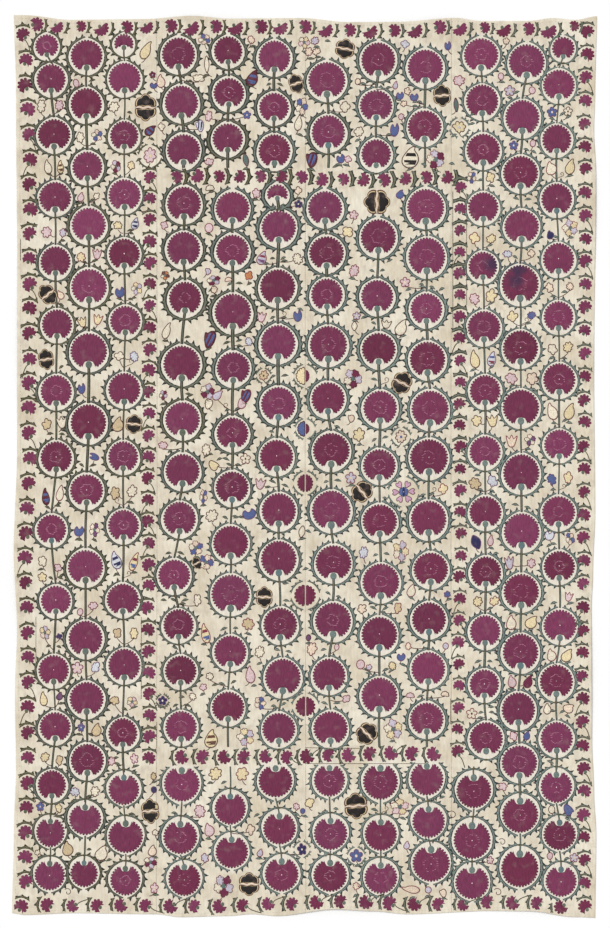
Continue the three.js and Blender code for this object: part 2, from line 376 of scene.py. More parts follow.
# Borders of half blossoms: the line they stand on, how many, the way their domes face in degrees, how far
# they lean by turns, their half width, the thickness of the arches over them in the upper and in the lower
# part of the cloth, and the share that have vines
BORDERS = [
    # outer left
    {"path": [(-779, 1192), (-770, 1123), (-772, 1057), (-764, 958), (-758, 839), (-759, 488),
              (-761, 184), (-759, -18), (-768, -162), (-771, -258), (-764, -452), (-764, -822),
              (-771, -1032), (-771, -1162), (-783, -1216)], "count": 36, "face": 0,
     "lean": (35, -25), "wide": 19.5, "arch": (7.4, 7.4), "vines": 0.3},
    # outer right
    {"path": [(784, 1202), (784, 1151), (778, 1068), (775, 902), (777, 626), (774, 377), (772, -37),
              (772, -267), (768, -479), (768, -701), (771, -866), (774, -1162), (774, -1216)],
     "count": 39, "face": 0, "lean": (32, -26), "wide": 18, "arch": (6.4, 6.4), "vines": 0.4},
    # outer top
    {"path": [(-740, 1220), (-565, 1213), (-363, 1217), (-178, 1216), (12, 1216), (70, 1208),
              (264, 1206), (377, 1213), (513, 1213), (665, 1208), (744, 1215)], "count": 25, "face": -90,
     "lean": (8, -56), "wide": 18.5, "arch": (7.6, 7.6), "vines": 0},
    # outer bottom
    {"path": [(709, -1216), (640, -1206), (527, -1203), (446, -1210), (394, -1212), (195, -1206),
              (126, -1201), (-12, -1206), (-222, -1215), (-507, -1212), (-710, -1212)],
     "count": 22, "face": 90, "lean": (30, -28), "wide": 19, "arch": (8, 8), "vines": 0.8},
    # inner left
    {"path": [(-426, 800), (-426, 488), (-430, 184), (-431, -93), (-432, -507), (-428, -808)], "count": 28,
     "face": 0, "lean": (35, -25), "wide": 18, "arch": (6.6, 6.6), "vines": 0.25},
    # inner right
    {"path": [(430, 773), (428, 460), (430, 128), (431, -258), (426, -507), (423, -786)], "count": 27,
     "face": 0, "lean": (24, -18), "wide": 16.8, "arch": (11, 5), "vines": 0.35},
    # inner top
    {"path": [(-353, 801), (-62, 802), (70, 792), (264, 793), (393, 801)], "count": 14,
     "face": -90, "lean": (15, -28), "wide": 18.2, "arch": (12, 12), "vines": 0},
    # inner bottom
    {"path": [(356, -794), (181, -793), (7, -802), (-339, -804)], "count": 13,
     "face": 90, "lean": (30, -28), "wide": 19.4, "arch": (8, 8), "vines": 0.1},
]

# Black-brown flowers of two halves: x, up, wide, tall and turn in degrees, where there is one
SHELLS = [
    (-439, 992, 61, 75), (-23, 1058, 41, 55, 20), (112, 1154, 55, 55, -10), (380, 1025, 50, 61, 5),
    (200, 731, 69, 72, 90), (-709, 475, 47, 61, 40), (-714, 296, 44, 58, 10), (-471, 117, 47, 53, -5),
    (269, 231, 55, 64, -25), (-111, -361, 47, 58), (159, -70, 55, 64, -50), (-426, -952, 50, 69, 5),
    (-153, -1154, 58, 64), (172, -738, 58, 64, -45), (142, -938, 66, 72, 5), (-297, -267, 25, 36, 30),
]

# Filler flowers by kind: colour, x, up, wide, tall and turn in degrees, where there is one
FILLERS = {
    "daisy": [
        ("pink", -427, 858, 39, 47), ("yellow", 428, 937, 39, 39), ("peach", 267, 82, 36, 39),
        ("tan", -113, 251, 28, 30), ("tan", -155, -434, 36, 39), ("pink", 136, 539, 30, 39),
        ("white", -471, 305, 25, 33), ("cream", -477, -69, 33, 36), ("yellow", -717, -804, 28, 28),
        ("peach", -147, 1180, 22, 25), ("peach", 147, 1063, 19, 19), ("cream", -19, 575, 33, 33),
        ("white", -154, 346, 22, 25), ("cream", -256, -137, 36, 41), ("cream", -309, -635, 22, 22),
        ("yellow", 243, -550, 25, 25), ("pink", -289, -951, 33, 41), ("yellow", 516, 629, 28, 30),
        ("peach", 734, 498, 22, 25), ("blue", 628, 417, 25, 25), ("yellow", 729, 329, 30, 33),
    ],
    "star": [
        ("blue", 143, -1076, 36, 36), ("navy", -7, -1058, 25, 33), ("navy", -392, -647, 25, 25),
        ("crimson", -420, 1082, 17, 19), ("pink", -628, -557, 33, 33), ("blue", -617, -721, 19, 25),
        ("pink", -470, -807, 22, 28), ("blue", -730, -940, 22, 25), ("pink", -415, -1165, 22, 30),
        ("blue", -159, 971, 22, 22), ("navy", -17, 725, 22, 22), ("pink", 136, 695, 25, 25),
        ("pink", 278, 509, 28, 28), ("lilac", 144, 416, 22, 22), ("cream", -163, 21, 28, 30),
        ("lilac", 128, -32, 30, 33), ("lilac", 567, 1038, 30, 30), ("blue", 684, 979, 28, 28),
        ("cream", 728, 981, 25, 25), ("blue", 578, 887, 25, 25), ("cream", 462, -683, 30, 30),
        ("lilac", 745, -1081, 25, 25), ("pink", 513, -1088, 19, 22),
    ],
    "maple": [
        ("yellow", 151, 87, 36, 41), ("cream", -728, 996, 28, 39), ("pink", -678, 997, 28, 30),
        ("cream", -620, 910, 25, 33), ("cream", -575, 747, 19, 22), ("cream", -526, 993, 33, 33, 15),
        ("cream", -395, 940, 22, 25), ("yellow", -479, 832, 25, 25), ("yellow", -515, 666, 25, 28),
        ("pink", -712, 647, 30, 36), ("lilac", -668, 645, 22, 25), ("pink", -387, 667, 22, 25),
        ("yellow", -618, 579, 28, 28), ("cream", -511, 305, 30, 28), ("tan", -712, 116, 28, 36),
        ("pink", -390, 58, 28, 25), ("tan", -524, -73, 30, 39), ("cream", -723, -261, 28, 33),
        ("yellow", -725, -305, 28, 28), ("pink", -681, -279, 22, 25), ("pink", -583, -385, 28, 25),
        ("navy", -677, -469, 17, 19), ("tan", -518, -461, 28, 30), ("yellow", -471, -460, 25, 36),
        ("white", -578, -555, 28, 33), ("tan", -524, -646, 28, 30), ("tan", -678, -811, 22, 33),
        ("pink", -533, -815, 22, 28), ("white", -634, -899, 28, 30), ("cream", -579, -898, 30, 30),
        ("tan", -417, -856, 19, 22), ("yellow", -680, -943, 22, 28), ("cream", -738, -1067, 17, 17),
        ("cream", -413, -1011, 22, 17), ("cream", -292, 1073, 39, 25), ("pink", -265, 967, 22, 33),
        ("pink", -264, 841, 30, 22), ("peach", 11, 1146, 25, 25), ("lilac", 30, 1176, 25, 25),
        ("peach", 34, 1146, 25, 22), ("pink", 120, 850, 22, 22), ("cream", 111, 994, 33, 33),
        ("cream", 151, 925, 28, 33), ("peach", 284, 1037, 22, 22), ("peach", 275, 1002, 19, 19),
        ("white", 278, 1168, 25, 25), ("pink", 267, 966, 19, 19), ("peach", -250, 488, 22, 22),
        ("orange", -154, 526, 25, 28), ("peach", -17, 761, 22, 25), ("pink", -133, 756, 25, 30),
        ("yellow", 119, 649, 36, 33), ("cream", -272, 47, 28, 36), ("cream", -297, -369, 25, 36),
        ("cream", -123, -513, 28, 39), ("cream", -261, -580, 22, 25), ("pink", -279, -610, 22, 22),
        ("yellow", 383, -63, 28, 33), ("white", 164, -238, 25, 41), ("blue", 395, -353, 19, 22),
        ("peach", 159, -394, 30, 28), ("tan", 257, -391, 25, 33), ("peach", 20, -504, 33, 39),
        ("peach", 286, -496, 19, 22), ("lilac", 179, -555, 17, 19), ("pink", 116, -642, 25, 25),
        ("yellow", -246, -850, 41, 39, 15), ("yellow", -173, -849, 41, 39, -15),
        ("lilac", -276, -1082, 25, 28), ("peach", -150, -1004, 28, 33), ("pink", -22, -939, 19, 22),
        ("yellow", 13, -929, 30, 30), ("peach", 142, -1159, 22, 22), ("pink", 426, 1066, 39, 30),
        ("peach", 558, 1175, 19, 22), ("yellow", 515, 799, 28, 33), ("yellow", 470, 632, 33, 36),
        ("white", 562, 587, 28, 22), ("peach", 628, 589, 22, 25), ("pink", 469, 464, 33, 33),
        ("yellow", 515, 471, 36, 41), ("peach", 677, 495, 25, 30), ("yellow", 575, 414, 33, 33),
        ("cream", 685, 325, 30, 33), ("pink", 571, 244, 36, 36), ("peach", 628, 243, 39, 36),
        ("yellow", 475, 125, 33, 33), ("tan", 471, -46, 36, 39), ("white", 519, -40, 30, 39),
        ("blue", 683, -35, 28, 36), ("yellow", 728, -32, 28, 36), ("pink", 626, -266, 28, 28),
        ("yellow", 478, -374, 30, 30, 10), ("yellow", 524, -372, 30, 30, -10), ("pink", 577, -744, 25, 28),
        ("pink", 549, -884, 28, 25),
    ],
    "bud": [
        ("pink", -631, 1059, 17, 22, 20), ("pink", -620, -402, 17, 19), ("navy", -416, -893, 17, 17),
        ("pink", -264, 659, 25, 25), ("purple", 11, -473, 14, 17), ("pink", 89, -499, 14, 17),
        ("pink", 155, -547, 25, 25), ("lilac", 390, -496, 17, 17), ("blue", -5, -952, 14, 14),
        ("lilac", 342, -1170, 19, 17), ("pink", 543, 1078, 17, 19), ("pink", 629, 1039, 19, 19),
        ("pink", 631, 893, 17, 19), ("cream", 683, -948, 19, 22), ("pink", 678, -1076, 17, 19),
    ],
    "posy": [
        ("blue", -573, 915, 30, 33), ("crimson", -521, 829, 28, 36), ("lilac", -463, 492, 30, 36),
        ("orange", -385, 528, 25, 25), ("crimson", -390, 198, 22, 28), ("purple", -580, -175, 28, 39),
        ("lilac", -717, -459, 30, 39), ("pink", -476, -650, 30, 30), ("crimson", -426, -1094, 36, 33),
        ("peach", -276, 1180, 33, 30), ("pink", -1, 1172, 33, 33), ("peach", -7, 996, 33, 50),
        ("crimson", -251, 514, 39, 28), ("crimson", -268, 207, 41, 44), ("crimson", 134, 243, 50, 55),
        ("blue", -279, -82, 22, 39), ("blue", -300, -225, 41, 41), ("peach", -272, -264, 41, 44),
        ("blue", -123, -653, 33, 36), ("lilac", 266, -234, 44, 58), ("lilac", -162, -747, 47, 50),
        ("crimson", -224, -1159, 55, 61), ("yellow", 246, -726, 50, 58), ("pink", 263, -941, 50, 47),
        ("crimson", 363, 849, 50, 55), ("blue", 462, 799, 25, 33), ("yellow", 734, 659, 44, 47),
        ("purple", 624, 73, 30, 33), ("peach", 734, -199, 25, 36),
    ],
    "boteh": [
        ("cream", -710, 828, 22, 39, 15), ("pink", -618, 745, 19, 25, 10),
        ("yellow", -438, 1151, 28, 53, -10), ("peach", -398, 1065, 25, 36, 10),
        ("peach", -675, 474, 19, 25, 40), ("tan", -516, 117, 33, 41), ("cream", -381, 376, 22, 47, -10),
        ("cream", -676, -73, 22, 44, -10), ("yellow", -722, -642, 22, 39, 10),
        ("purple", -677, -634, 19, 22), ("tan", -575, -727, 28, 36, -10), ("tan", -656, -1056, 33, 39, 25),
        ("cream", -561, -1067, 36, 44, -25), ("peach", -421, -1061, 25, 30, 10),
        ("cream", -17, 950, 22, 44), ("lilac", 251, 1054, 14, 22), ("blue", 264, 753, 22, 25),
        ("cream", 267, 385, 33, 47, -15), ("peach", 128, 133, 22, 19, 60),
        ("lilac", -240, 198, 22, 33, -30), ("cream", -266, 173, 30, 22, 60),
        ("pink", -175, 174, 25, 28, 20), ("yellow", -250, 4, 33, 25, -70),
        ("pink", -151, -575, 28, 47, 10), ("cream", 295, -342, 25, 36), ("pink", -265, -1004, 30, 36, 20),
        ("lilac", -123, -1067, 17, 22), ("lilac", 282, -1046, 17, 22), ("peach", 293, -1169, 22, 50, 90),
        ("peach", 382, -1179, 25, 19, 80), ("cream", 680, 824, 33, 36, 30),
        ("yellow", 734, 829, 28, 44, -15), ("navy", 678, 640, 22, 22, 30),
        ("yellow", 469, 297, 28, 50, 15), ("cream", 683, 152, 30, 47, 20),
        ("yellow", 732, 153, 30, 47, -20), ("pink", 514, -204, 17, 30), ("cream", 570, -431, 30, 39, 20),
        ("yellow", 627, -429, 33, 39, -20), ("cream", 681, -521, 28, 33, 20),
        ("yellow", 725, -521, 30, 39, -20), ("pink", 572, -594, 25, 33, 20),
        ("crimson", 618, -594, 25, 36, -20), ("cream", 670, -669, 22, 30, 20),
        ("peach", 730, -667, 30, 28, -30), ("blue", 614, -743, 19, 25), ("blue", 730, -948, 36, 25, -70),
    ],
    "banded": [
        ("brown", -675, 828, 19, 36), ("blue", -426, 930, 25, 36, -35), ("navy", -468, 672, 22, 33, -10),
        ("blue", -716, -83, 22, 47, 10), ("navy", -522, -259, 30, 50, 15),
        ("crimson", -471, -262, 22, 53, -15), ("blue", -144, 1074, 33, 47, -25),
        ("navy", -290, 941, 36, 22, 80), ("blue", 18, 848, 47, 33, 60), ("lilac", -118, 577, 28, 39, -15),
        ("blue", -264, 352, 55, 33, 70), ("blue", -164, 195, 44, 28, 70),
        ("crimson", -275, -461, 25, 55, 10), ("brown", -259, -752, 39, 50), ("black", 292, 855, 50, 61),
        ("white", 517, 298, 25, 41, -10),
    ],
    "bell": [
        ("blue", -417, 1053, 19, 17), ("blue", -510, 482, 25, 30), ("blue", -616, 216, 19, 30),
        ("blue", -582, 27, 17, 30, 60), ("blue", -623, -178, 25, 30), ("blue", 100, 851, 22, 25),
        ("blue", 249, 931, 22, 39), ("blue", 264, 1025, 19, 22), ("blue", 303, 1021, 22, 22),
        ("blue", 396, 1163, 17, 25), ("blue", -19, 417, 22, 33), ("blue", -153, -131, 36, 30),
        ("blue", 267, -526, 22, 22), ("white", 677, -190, 25, 28),
    ],
    "tulip": [
        ("pink", -573, 587, 25, 28), ("yellow", -614, 399, 25, 28, 10), ("yellow", -571, 406, 25, 28, -10),
        ("cream", -671, 122, 28, 33), ("pink", -119, 413, 25, 28), ("cream", 226, 393, 28, 22),
        ("pink", -122, -48, 28, 30), ("yellow", 519, 126, 30, 33), ("peach", 572, 70, 30, 33),
        ("lilac", 566, -266, 25, 36), ("pink", 730, -360, 22, 25),
    ],
    "half": [
        ("cream", -261, 766, 24, 24), ("lilac", -270, 538, 18, 24, -80), ("peach", -210, 514, 20, 18),
        ("pink", 292, -636, 24, 22), ("peach", 388, -632, 22, 22),
    ],
}
LEAVES = [
    ("cream", -270, 1111, 14, 47, 10), ("teal", -162, 847, 17, 36, 20), ("teal", 419, 999, 14, 39, 15),
    ("cream", 138, 388, 17, 25), ("cream", -7, -180, 19, 33), ("teal", 462, 999, 17, 36),
    ("navy", 474, -209, 30, 41, 20),
]
HEART_FLOWER = (274, -70, 62)      # x, up, size
TENDRILS = [(-654, -1176, 22), (408, -963, 25), (534, -1177, 25), (546, -1038, 22)]     # x, up, width

# Fillers that have small thorny arcs round them
RINGED = [(-427, 858), (428, 937), (143, -1076), (-7, -1058), (-392, -647), (267, 82), (-113, 251)]

# Small flowers parted by the middle seam: up, and for each half its colour, width and height
SEAM_ROSETTES = [
    (250, ("yellow", 24, 48), ("crimson", 11, 35)), (104, ("blue", 20, 42), ("crimson", 11, 30)),
    (-46, ("crimson", 21, 50), ("crimson", 21, 50)), (-356, ("crimson", 30, 60), ("crimson", 28, 58)),
    (-663, ("crimson", 27, 56), ("crimson", 26, 54)),
]

# Straight lines of running stitch beside the borders: from, to
STITCHED_LINES = [
    ((-408, -706), (-408, -778)), ((-451, -416), (-451, -645)), ((-742, -416), (-742, -598)),
    ((448, 736), (448, 446)), ((410, 760), (410, 380)), ((2, -777), (156, -779)),
    ((2, -821), (340, -821)), ((404, -641), (404, -713)), ((-734, 598), (-734, 537)),
    ((-785, 628), (-785, 566)),
]

# Blue-black stains: x, up, radius, strength
STAINS = [(519, 561, 33, 0.8), (590, 546, 30, 0.8), (582, 515, 31, 0.7)]

# Thread colours, as 0 to 255
THREADS = {
    "crimson": (107, 35, 65), "plum": (125, 52, 88), "wine": (96, 36, 52), "olive": (84, 84, 64),
    "slate": (102, 114, 106), "bluegreen": (88, 103, 108), "calyx": (98, 120, 120),
    "joint": (82, 76, 48), "stem": (84, 86, 72),
    "cream": (230, 219, 196), "white": (206, 208, 214), "yellow": (228, 210, 168),
    "peach": (229, 208, 185), "pink": (217, 191, 192), "lilac": (196, 188, 200),
    "blue": (84, 98, 146), "navy": (44, 42, 84), "tan": (206, 184, 146), "purple": (110, 72, 112),
    "brown": (98, 62, 46), "teal": (92, 112, 108), "orange": (196, 128, 82), "black": (30, 24, 22),
    "maroon": (82, 37, 35), "mauve": (206, 162, 186), "rose": (126, 46, 64),
    "dash": (208, 152, 174), "dot": (236, 214, 210), "sewing": (222, 212, 192),
    "line": (86, 74, 50), "bluecalyx": (84, 104, 108),
}
BANDS = {"blue": ("wine", "blue", "blue"), "navy": ("white", "navy", "navy"),
         "crimson": ("yellow", "rose", "blue"), "brown": ("yellow", "brown", "brown"),
         "lilac": ("lilac", "rose", "purple"), "black": ("cream", "black", "black"),
         "white": ("white", "blue", "rose")}
PARTNERS = {"crimson": "lilac", "blue": "peach", "lilac": "yellow", "peach": "blue", "orange": "brown",
            "purple": "cream", "pink": "yellow", "yellow": "lilac", "navy": "cream"}

rng = np.random.default_rng(1870)
silk = {}           # threadwork by colour group and panel
taken = []          # x, up and reach of each motif that is stitched
wreaths = []        # x, up and reach of each wreath


# Shapes of the cloth

def linear(colour):
    """A colour given as 0 to 255, in the linear values that a shader takes."""
    values = np.array(colour, float) / 255
    return np.where(values <= 0.04045, values / 12.92, ((values + 0.055) / 1.055) ** 2.4)


def smooth(share):
    share = np.clip(share, 0, 1)
    return share * share * (3 - 2 * share)


def falling(away, height, width):
    """A height that falls off smoothly to nought over a width."""
    return height * (1 - smooth(away / width))


def eased(table, place):
    """Eases between the rows of a table of places and values."""
    places, values = np.array(table, float).T
    row = np.clip(np.searchsorted(places, place), 1, len(places) - 1)
    share = smooth((place - places[row - 1]) / (places[row] - places[row - 1]))
    return values[row - 1] + (values[row] - values[row - 1]) * share


def lift(x, up):
    """Height of the underside: nought where the cloth touches, raised along each ridge."""
    height = np.zeros_like(x)
    for middle, level, turn, length, half_width, high in RIDGES:
        cosine = math.cos(math.radians(turn))
        sine = math.sin(math.radians(turn))
        along = (x - middle) * cosine + (up - level) * sine
        across = (up - level) * cosine - (x - middle) * sine
        away = np.hypot(along / (length / 2), across / half_width)
        height = np.maximum(height, falling(away, high, 1))
    return height


def pucker(x, up):
    """The small unevenness that dense stitching leaves in the cotton."""
    waves = np.zeros_like(x)
    for length, turn, phase in PUCKER_WAVES:
        across = x * math.cos(math.radians(turn)) + up * math.sin(math.radians(turn))
        waves += np.sin(2 * math.pi * across / length + phase)
    return PUCKER * (0.5 + 0.5 * waves / len(PUCKER_WAVES))


def edge_distance(x, up):
    """How far a place lies from the nearest outer edge."""
    sides = np.minimum(x - eased(LEFT_EDGE, up), eased(RIGHT_EDGE, up) - x)
    ends = np.minimum(eased(TOP_END, x) - up, up - eased(BOTTOM_END, x))
    return np.maximum(np.minimum(sides, ends), 0)


def seam_distance(x, up):
    return np.min([np.abs(x - eased(seam, up)) for seam in SEAMS], axis=0)


def cloth_top(x, up):
    """Height of the cotton's upper face, with its hem and its sewn edges."""
    away = edge_distance(x, up)
    hem = falling(away - HEM_WIDTH, HEM_EXTRA, HEM_SLOPE) - falling(away, *EDGE_ROLL)
    roll = falling(seam_distance(x, up), *SEAM_ROLL)
    return lift(x, up) + pucker(x, up) + COTTON_THICKNESS + hem - roll


def panel_at(x):
    return sum(x > middle for middle in SEAM_MIDDLES)


# Stitched shapes

def quads(first, second, third, fourth):
    """Two triangles for each four corners."""
    return np.vstack([np.column_stack([first, second, third]), np.column_stack([first, third, fourth])])


class Threadwork:
    """Stitched shapes on one panel, in millimetres on the flat cloth, gathered into one mesh."""

    def __init__(self):
        self.points = []
        self.colours = []
        self.under = []
        self.over = []
        self.total = 0

    def add(self, points, under, over, colour):
        self.points.append(points)
        self.colours.append(np.broadcast_to(colour, (len(points), 3)))
        self.under.append(under + self.total)
        self.over.append(over + self.total)
        self.total += len(points)

    def patch(self, outline, centre, height, colour, rings=PAD, rim=1.0):
        """A padded closed shape, drawn round its centre, with painted shade darkening its sloping rim for a
        rim below one.
        """
        outline = anticlockwise(outline)
        count = len(outline)
        layers = [np.column_stack([outline, np.full(count, -SINK)])]
        for share, rise in rings:
            ring = centre + (outline - centre) * share
            layers.append(np.column_stack([ring, np.full(count, height * rise)]))
        ends = np.array([[*centre, height], [*centre, -SINK]])
        points = np.vstack([*layers, ends])
        here = np.arange(count)
        after = np.roll(here, -1)
        last = len(rings) * count
        over = []
        for low in range(0, last, count):
            high = low + count
            over.append(quads(low + here, low + after, high + after, high + here))
        over.append(np.column_stack([last + here, last + after, np.full(count, last + count)]))
        under = np.column_stack([after, here, np.full(count, last + count + 1)])
        # painted shade: the outline at the padding's foot takes the rim share and fades to full colour at
        # the first ring
        shade = np.where(np.arange(len(points)) < count, rim, 1.0)
        self.add(points, under, np.vstack(over), shade[:, None] * colour)

    def band(self, line, left, right, height, colour, closed=False):
        """A ridged strip of stitches along a line, with its own width to each side."""
        line = np.asarray(line, float)
        count = len(line)
        if closed:
            course = np.roll(line, -1, axis=0) - np.roll(line, 1, axis=0)
        else:
            course = np.gradient(line, axis=0)
        course /= np.maximum(np.hypot(*course.T), 1e-6)[:, None]
        side = np.column_stack([-course[:, 1], course[:, 0]])
        foot = np.full(count, -SINK)
        lefts = np.column_stack([line + side * np.reshape(left * np.ones(count), (-1, 1)), foot])
        rights = np.column_stack([line - side * np.reshape(right * np.ones(count), (-1, 1)), foot])
        tops = np.column_stack([line, height * np.ones(count)])
        here = np.arange(count if closed else count - 1)
        after = (here + 1) % count
        top = count
        far = 2 * count
        over = [
            quads(here, top + here, top + after, after),
            quads(top + here, far + here, far + after, top + after),
        ]
        if not closed:
            over.append([[0, far, top], [far + count - 1, count - 1, top + count - 1]])
        under = quads(far + here, here, after, far + after)
        self.add(np.vstack([lefts, tops, rights]), under, np.vstack(over), colour)

    def even_band(self, line, half, height, colour):
        self.band(line, half, half, height, colour)

    def chain(self, line, colour, width=CHAIN_WIDTH):
        """A closed line of chain stitch, each link fat at its middle and drawn in at its ends."""
        line = resampled(line, CHAIN_LINK / 2)
        links = np.where(np.arange(len(line)) % 2 == 0, *LINK_HALVES) * width
        self.band(line, links, links, OUTLINE_RISE, colour, closed=True)


def anticlockwise(outline):
    after = np.roll(outline, -1, axis=0)
    area = np.sum(outline[:, 0] * after[:, 1] - after[:, 0] * outline[:, 1])
    return outline if area > 0 else outline[::-1]


def lengths_along(line):
    legs = np.hypot(*np.diff(line, axis=0).T)
    return np.concatenate([[0], np.cumsum(legs)])


def at_shares(line, shares):
    """Points of a line at the given shares of its length."""
    along = lengths_along(line)
    places = np.asarray(shares) * along[-1]
    return np.column_stack([np.interp(places, along, line[:, axis]) for axis in (0, 1)])


def resampled(outline, step):
    """The same closed line with points at even steps, an even number of them."""
    line = np.vstack([outline, outline[:1]])
    count = 2 * max(2, round(lengths_along(line)[-1] / step / 2))
    return at_shares(line, np.linspace(0, 1, count, endpoint=False))


def mirrored(half):
    """The given points and the same ones mirrored to the other side, in order."""
    return np.array([*half, *((-x, up) for x, up in half[::-1] if x)])


def rounded(corners, steps=4):
    """A closed soft curve through the corners."""
    corners = np.array(corners)
    before = np.roll(corners, 1, axis=0)
    after = np.roll(corners, -1, axis=0)
    beyond = np.roll(corners, -2, axis=0)
    curve = []
    for share in np.arange(steps) / steps:
        cubic = -before + 3 * corners - 3 * after + beyond
        square = 2 * before - 5 * corners + 4 * after - beyond
        straight = after - before
        curve.append(0.5 * (2 * corners + straight * share + square * share**2 + cubic * share**3))
    return np.stack(curve, axis=1).reshape(-1, 2)


def polar(angles, reach):
    angles = np.radians(angles)
    return np.column_stack([np.cos(angles), np.sin(angles)]) * np.reshape(reach, (-1, 1))


def lobed(lobes, middle, depth, count=48):
    """A round outline with shallow lobes, in shares of its size."""
    angles = np.arange(count) * 360 / count
    return polar(angles, middle + depth * np.cos(np.radians(lobes * (angles - 90))))


def oval(spot, size, depth, count):
    """A small round outline, a little taller than wide."""
    return placed(lobed(2, 1.0, depth, count) * size, *spot)


def petals(angles, lobes, start=90.0):
    """Broad lobes with narrow notches between them: nought in a notch, one at a lobe's middle."""
    return np.abs(np.cos(np.radians(0.5 * lobes * (angles - start)))) ** 0.6


def petalled(lobes, inner, outer, count=60):
    angles = np.arange(count) * 360 / count
    return polar(angles, inner + (outer - inner) * petals(angles, lobes))


def placed(points, x, up, turn=0.0):
    """Points of a motif, turned in degrees and moved to their place on the cloth."""
    cosine = math.cos(math.radians(turn))
    sine = math.sin(math.radians(turn))
    return np.asarray(points, float) @ np.array(((cosine, sine), (-sine, cosine))) + (x, up)


def spot_above(reach, x, up, turn):
    """The place at a distance above a motif's middle, or below it if that is less than nought."""
    return placed([(0, reach)], x, up, turn)[0]


def bowed(start, end, count, bow):
    """A line of points that bows upwards at its middle, or sags if that is less than nought."""
    line = np.linspace(start, end, count)
    line[:, 1] += bow * np.sin(np.linspace(0, math.pi, count))
    return line


def toned(name, spread=0.08):
    """A thread colour, a little lighter or darker each time, as hand-dyed thread is."""
    return linear(THREADS[name]) * (1 + rng.uniform(-spread, spread))


def green_at(x, up):
    """Wreaths are olive in the left loom widths and greyer blue-green towards the right and below."""
    share = smooth((x - GREEN_START - GREEN_SLANT * up) / GREEN_SPAN + rng.uniform(*GREEN_DRIFT))
    olive = linear(THREADS["olive"])
    return (olive + (linear(THREADS["slate"]) - olive) * share) * (1 + rng.uniform(*GREEN_SPREAD))


def stitch(group, x):
    """The threadwork of one colour group on the panel at x."""
    return silk.setdefault((group, panel_at(x)), Threadwork())


# Blossoms

def saw_edge(start, end, radius, teeth, depth=TOOTH_DEPTH):
    """An arc of fat, rounded teeth, anticlockwise from one angle to the other."""
    places, shape = np.array(TOOTH_SHAPE).T
    pitch = (end - start) / teeth
    angles = start + pitch * (np.arange(teeth)[:, None] + places)
    reach = radius + depth * rng.uniform(*TOOTH_SPREAD, (teeth, 1)) * shape
    return polar(angles.ravel(), reach.ravel())


def crimson_tone():
    """Between deep crimson and a faded plum, as no two blossoms were dyed alike."""
    share = rng.random()
    return (1 - share) * toned("crimson", 0.1) + share * toned("plum", 0.1)


def rosette(x, up, radius, turn):
    opening, left_base, heart = NOTCH_ANGLE, HOOKED_BASE, HEART
    if radius < HALF_BLOSSOM:
        opening, left_base, heart = HALF_OPENING, HALF_BASE, HALF_HEART
    start = opening / 2 - 90
    end = 270 - opening / 2
    teeth = round(math.radians(end - start) * radius / TOOTH_PITCH)
    outline = np.vstack([saw_edge(start, end, radius, teeth), mirrored(left_base) * radius])
    stretch = rng.uniform(*BLOSSOM_STRETCH)
    outline = placed(outline * (stretch, 1 / stretch), x, up, turn)
    middle = placed([np.array(heart) * radius], x, up, turn)[0]
    # the blossom's edge gets painted shade at the foot of its padding
    stitch("crimson", x).patch(outline, middle, ROSETTE_RISE, crimson_tone(), BLOSSOM_PAD, BLOSSOM_RIM_SHADE)


def calyx(x, up, radius, turn, green):
    place = HALF_CALYX if radius < HALF_BLOSSOM else CALYX_PLACE
    spot = spot_above(place * radius, x, up, turn)
    outline = oval(spot, max(CALYX_RADIUS * radius, SMALLEST_CALYX), 0.06, 16)
    colour = 0.9 * green + 0.3 * toned("calyx", 0.12)
    # the calyx's edge gets painted shade at the foot of its padding
    stitch("green", x).patch(outline, spot, LEAF_RISE, colour, rim=CALYX_RIM_SHADE)


def dash(work, middle, angle, reach):
    spot = middle + polar([angle], reach * rng.uniform(*DASH_STRAY))[0]
    half = rng.uniform(*DASH_HALF)
    slant = DASH_SLANT * half * math.sin(math.radians(2 * angle))
    line = spot + np.array(((-half, slant), (0, 0), (half, -slant)))
    work.even_band(line, DASH_HALF_WIDTH, PALE_RISE, toned("dash", 0.2))


def pale_middle(x, up, radius, turn):
    """Pale stitches at the middle of a blossom: a ring of short dashes, a dot, both or neither."""
    work = stitch("mixed", x)
    middle = spot_above(DASH_MIDDLE * radius, x, up, turn)
    if rng.random() < DOT_SHARE:
        dot = oval(middle, rng.uniform(*DOT_RADIUS), 0.15, 8)
        work.patch(dot, middle, PALE_RISE, toned("dot"), DOT_PAD)
    if rng.random() < DASH_SHARES[0 if x < 0 else 1]:
        reach = radius * rng.uniform(*DASH_REACH)
        for angle in np.arange(0, 360, DASH_STEP) + rng.uniform(0, DASH_STEP):
            if rng.random() < DASH_KEPT:
                dash(work, middle, angle, reach)


def arm(x, line, width, thorn, count, side, colour, ends=ARM_TAPER):
    """A leafy band that has thorns on one side, in the threadwork of the panel at x."""
    starts = np.arange(count) / count
    shares = [starts + place / count for place in THORN_PLACES]
    stations = np.sort(np.concatenate([*shares, [1.0]]))
    is_tip = np.zeros(len(stations))
    is_tip[2::len(THORN_PLACES)] = 1
    taper = ends + (1 - ends) * np.sin(math.pi * np.clip(stations, 0.02, 0.98)) ** 0.5
    plain = 0.5 * width * taper * rng.uniform(*LEAF_SPREAD, len(stations))
    spiky = plain + is_tip * thorn * rng.uniform(*THORN_SPREAD, len(stations))
    left, right = (spiky, plain) if side > 0 else (plain, spiky)
    two_tone(stitch("green", x), at_shares(line, stations), left, right, colour)


def two_tone(work, line, left, right, colour):
    """A dark green band with a lighter one along its middle."""
    work.band(line, left, right, LEAF_EDGE_RISE, DARK_EDGE * colour)
    work.band(line, LIGHT_SHARE * left, LIGHT_SHARE * right, LEAF_RISE, LIGHT_MIDDLE * colour)


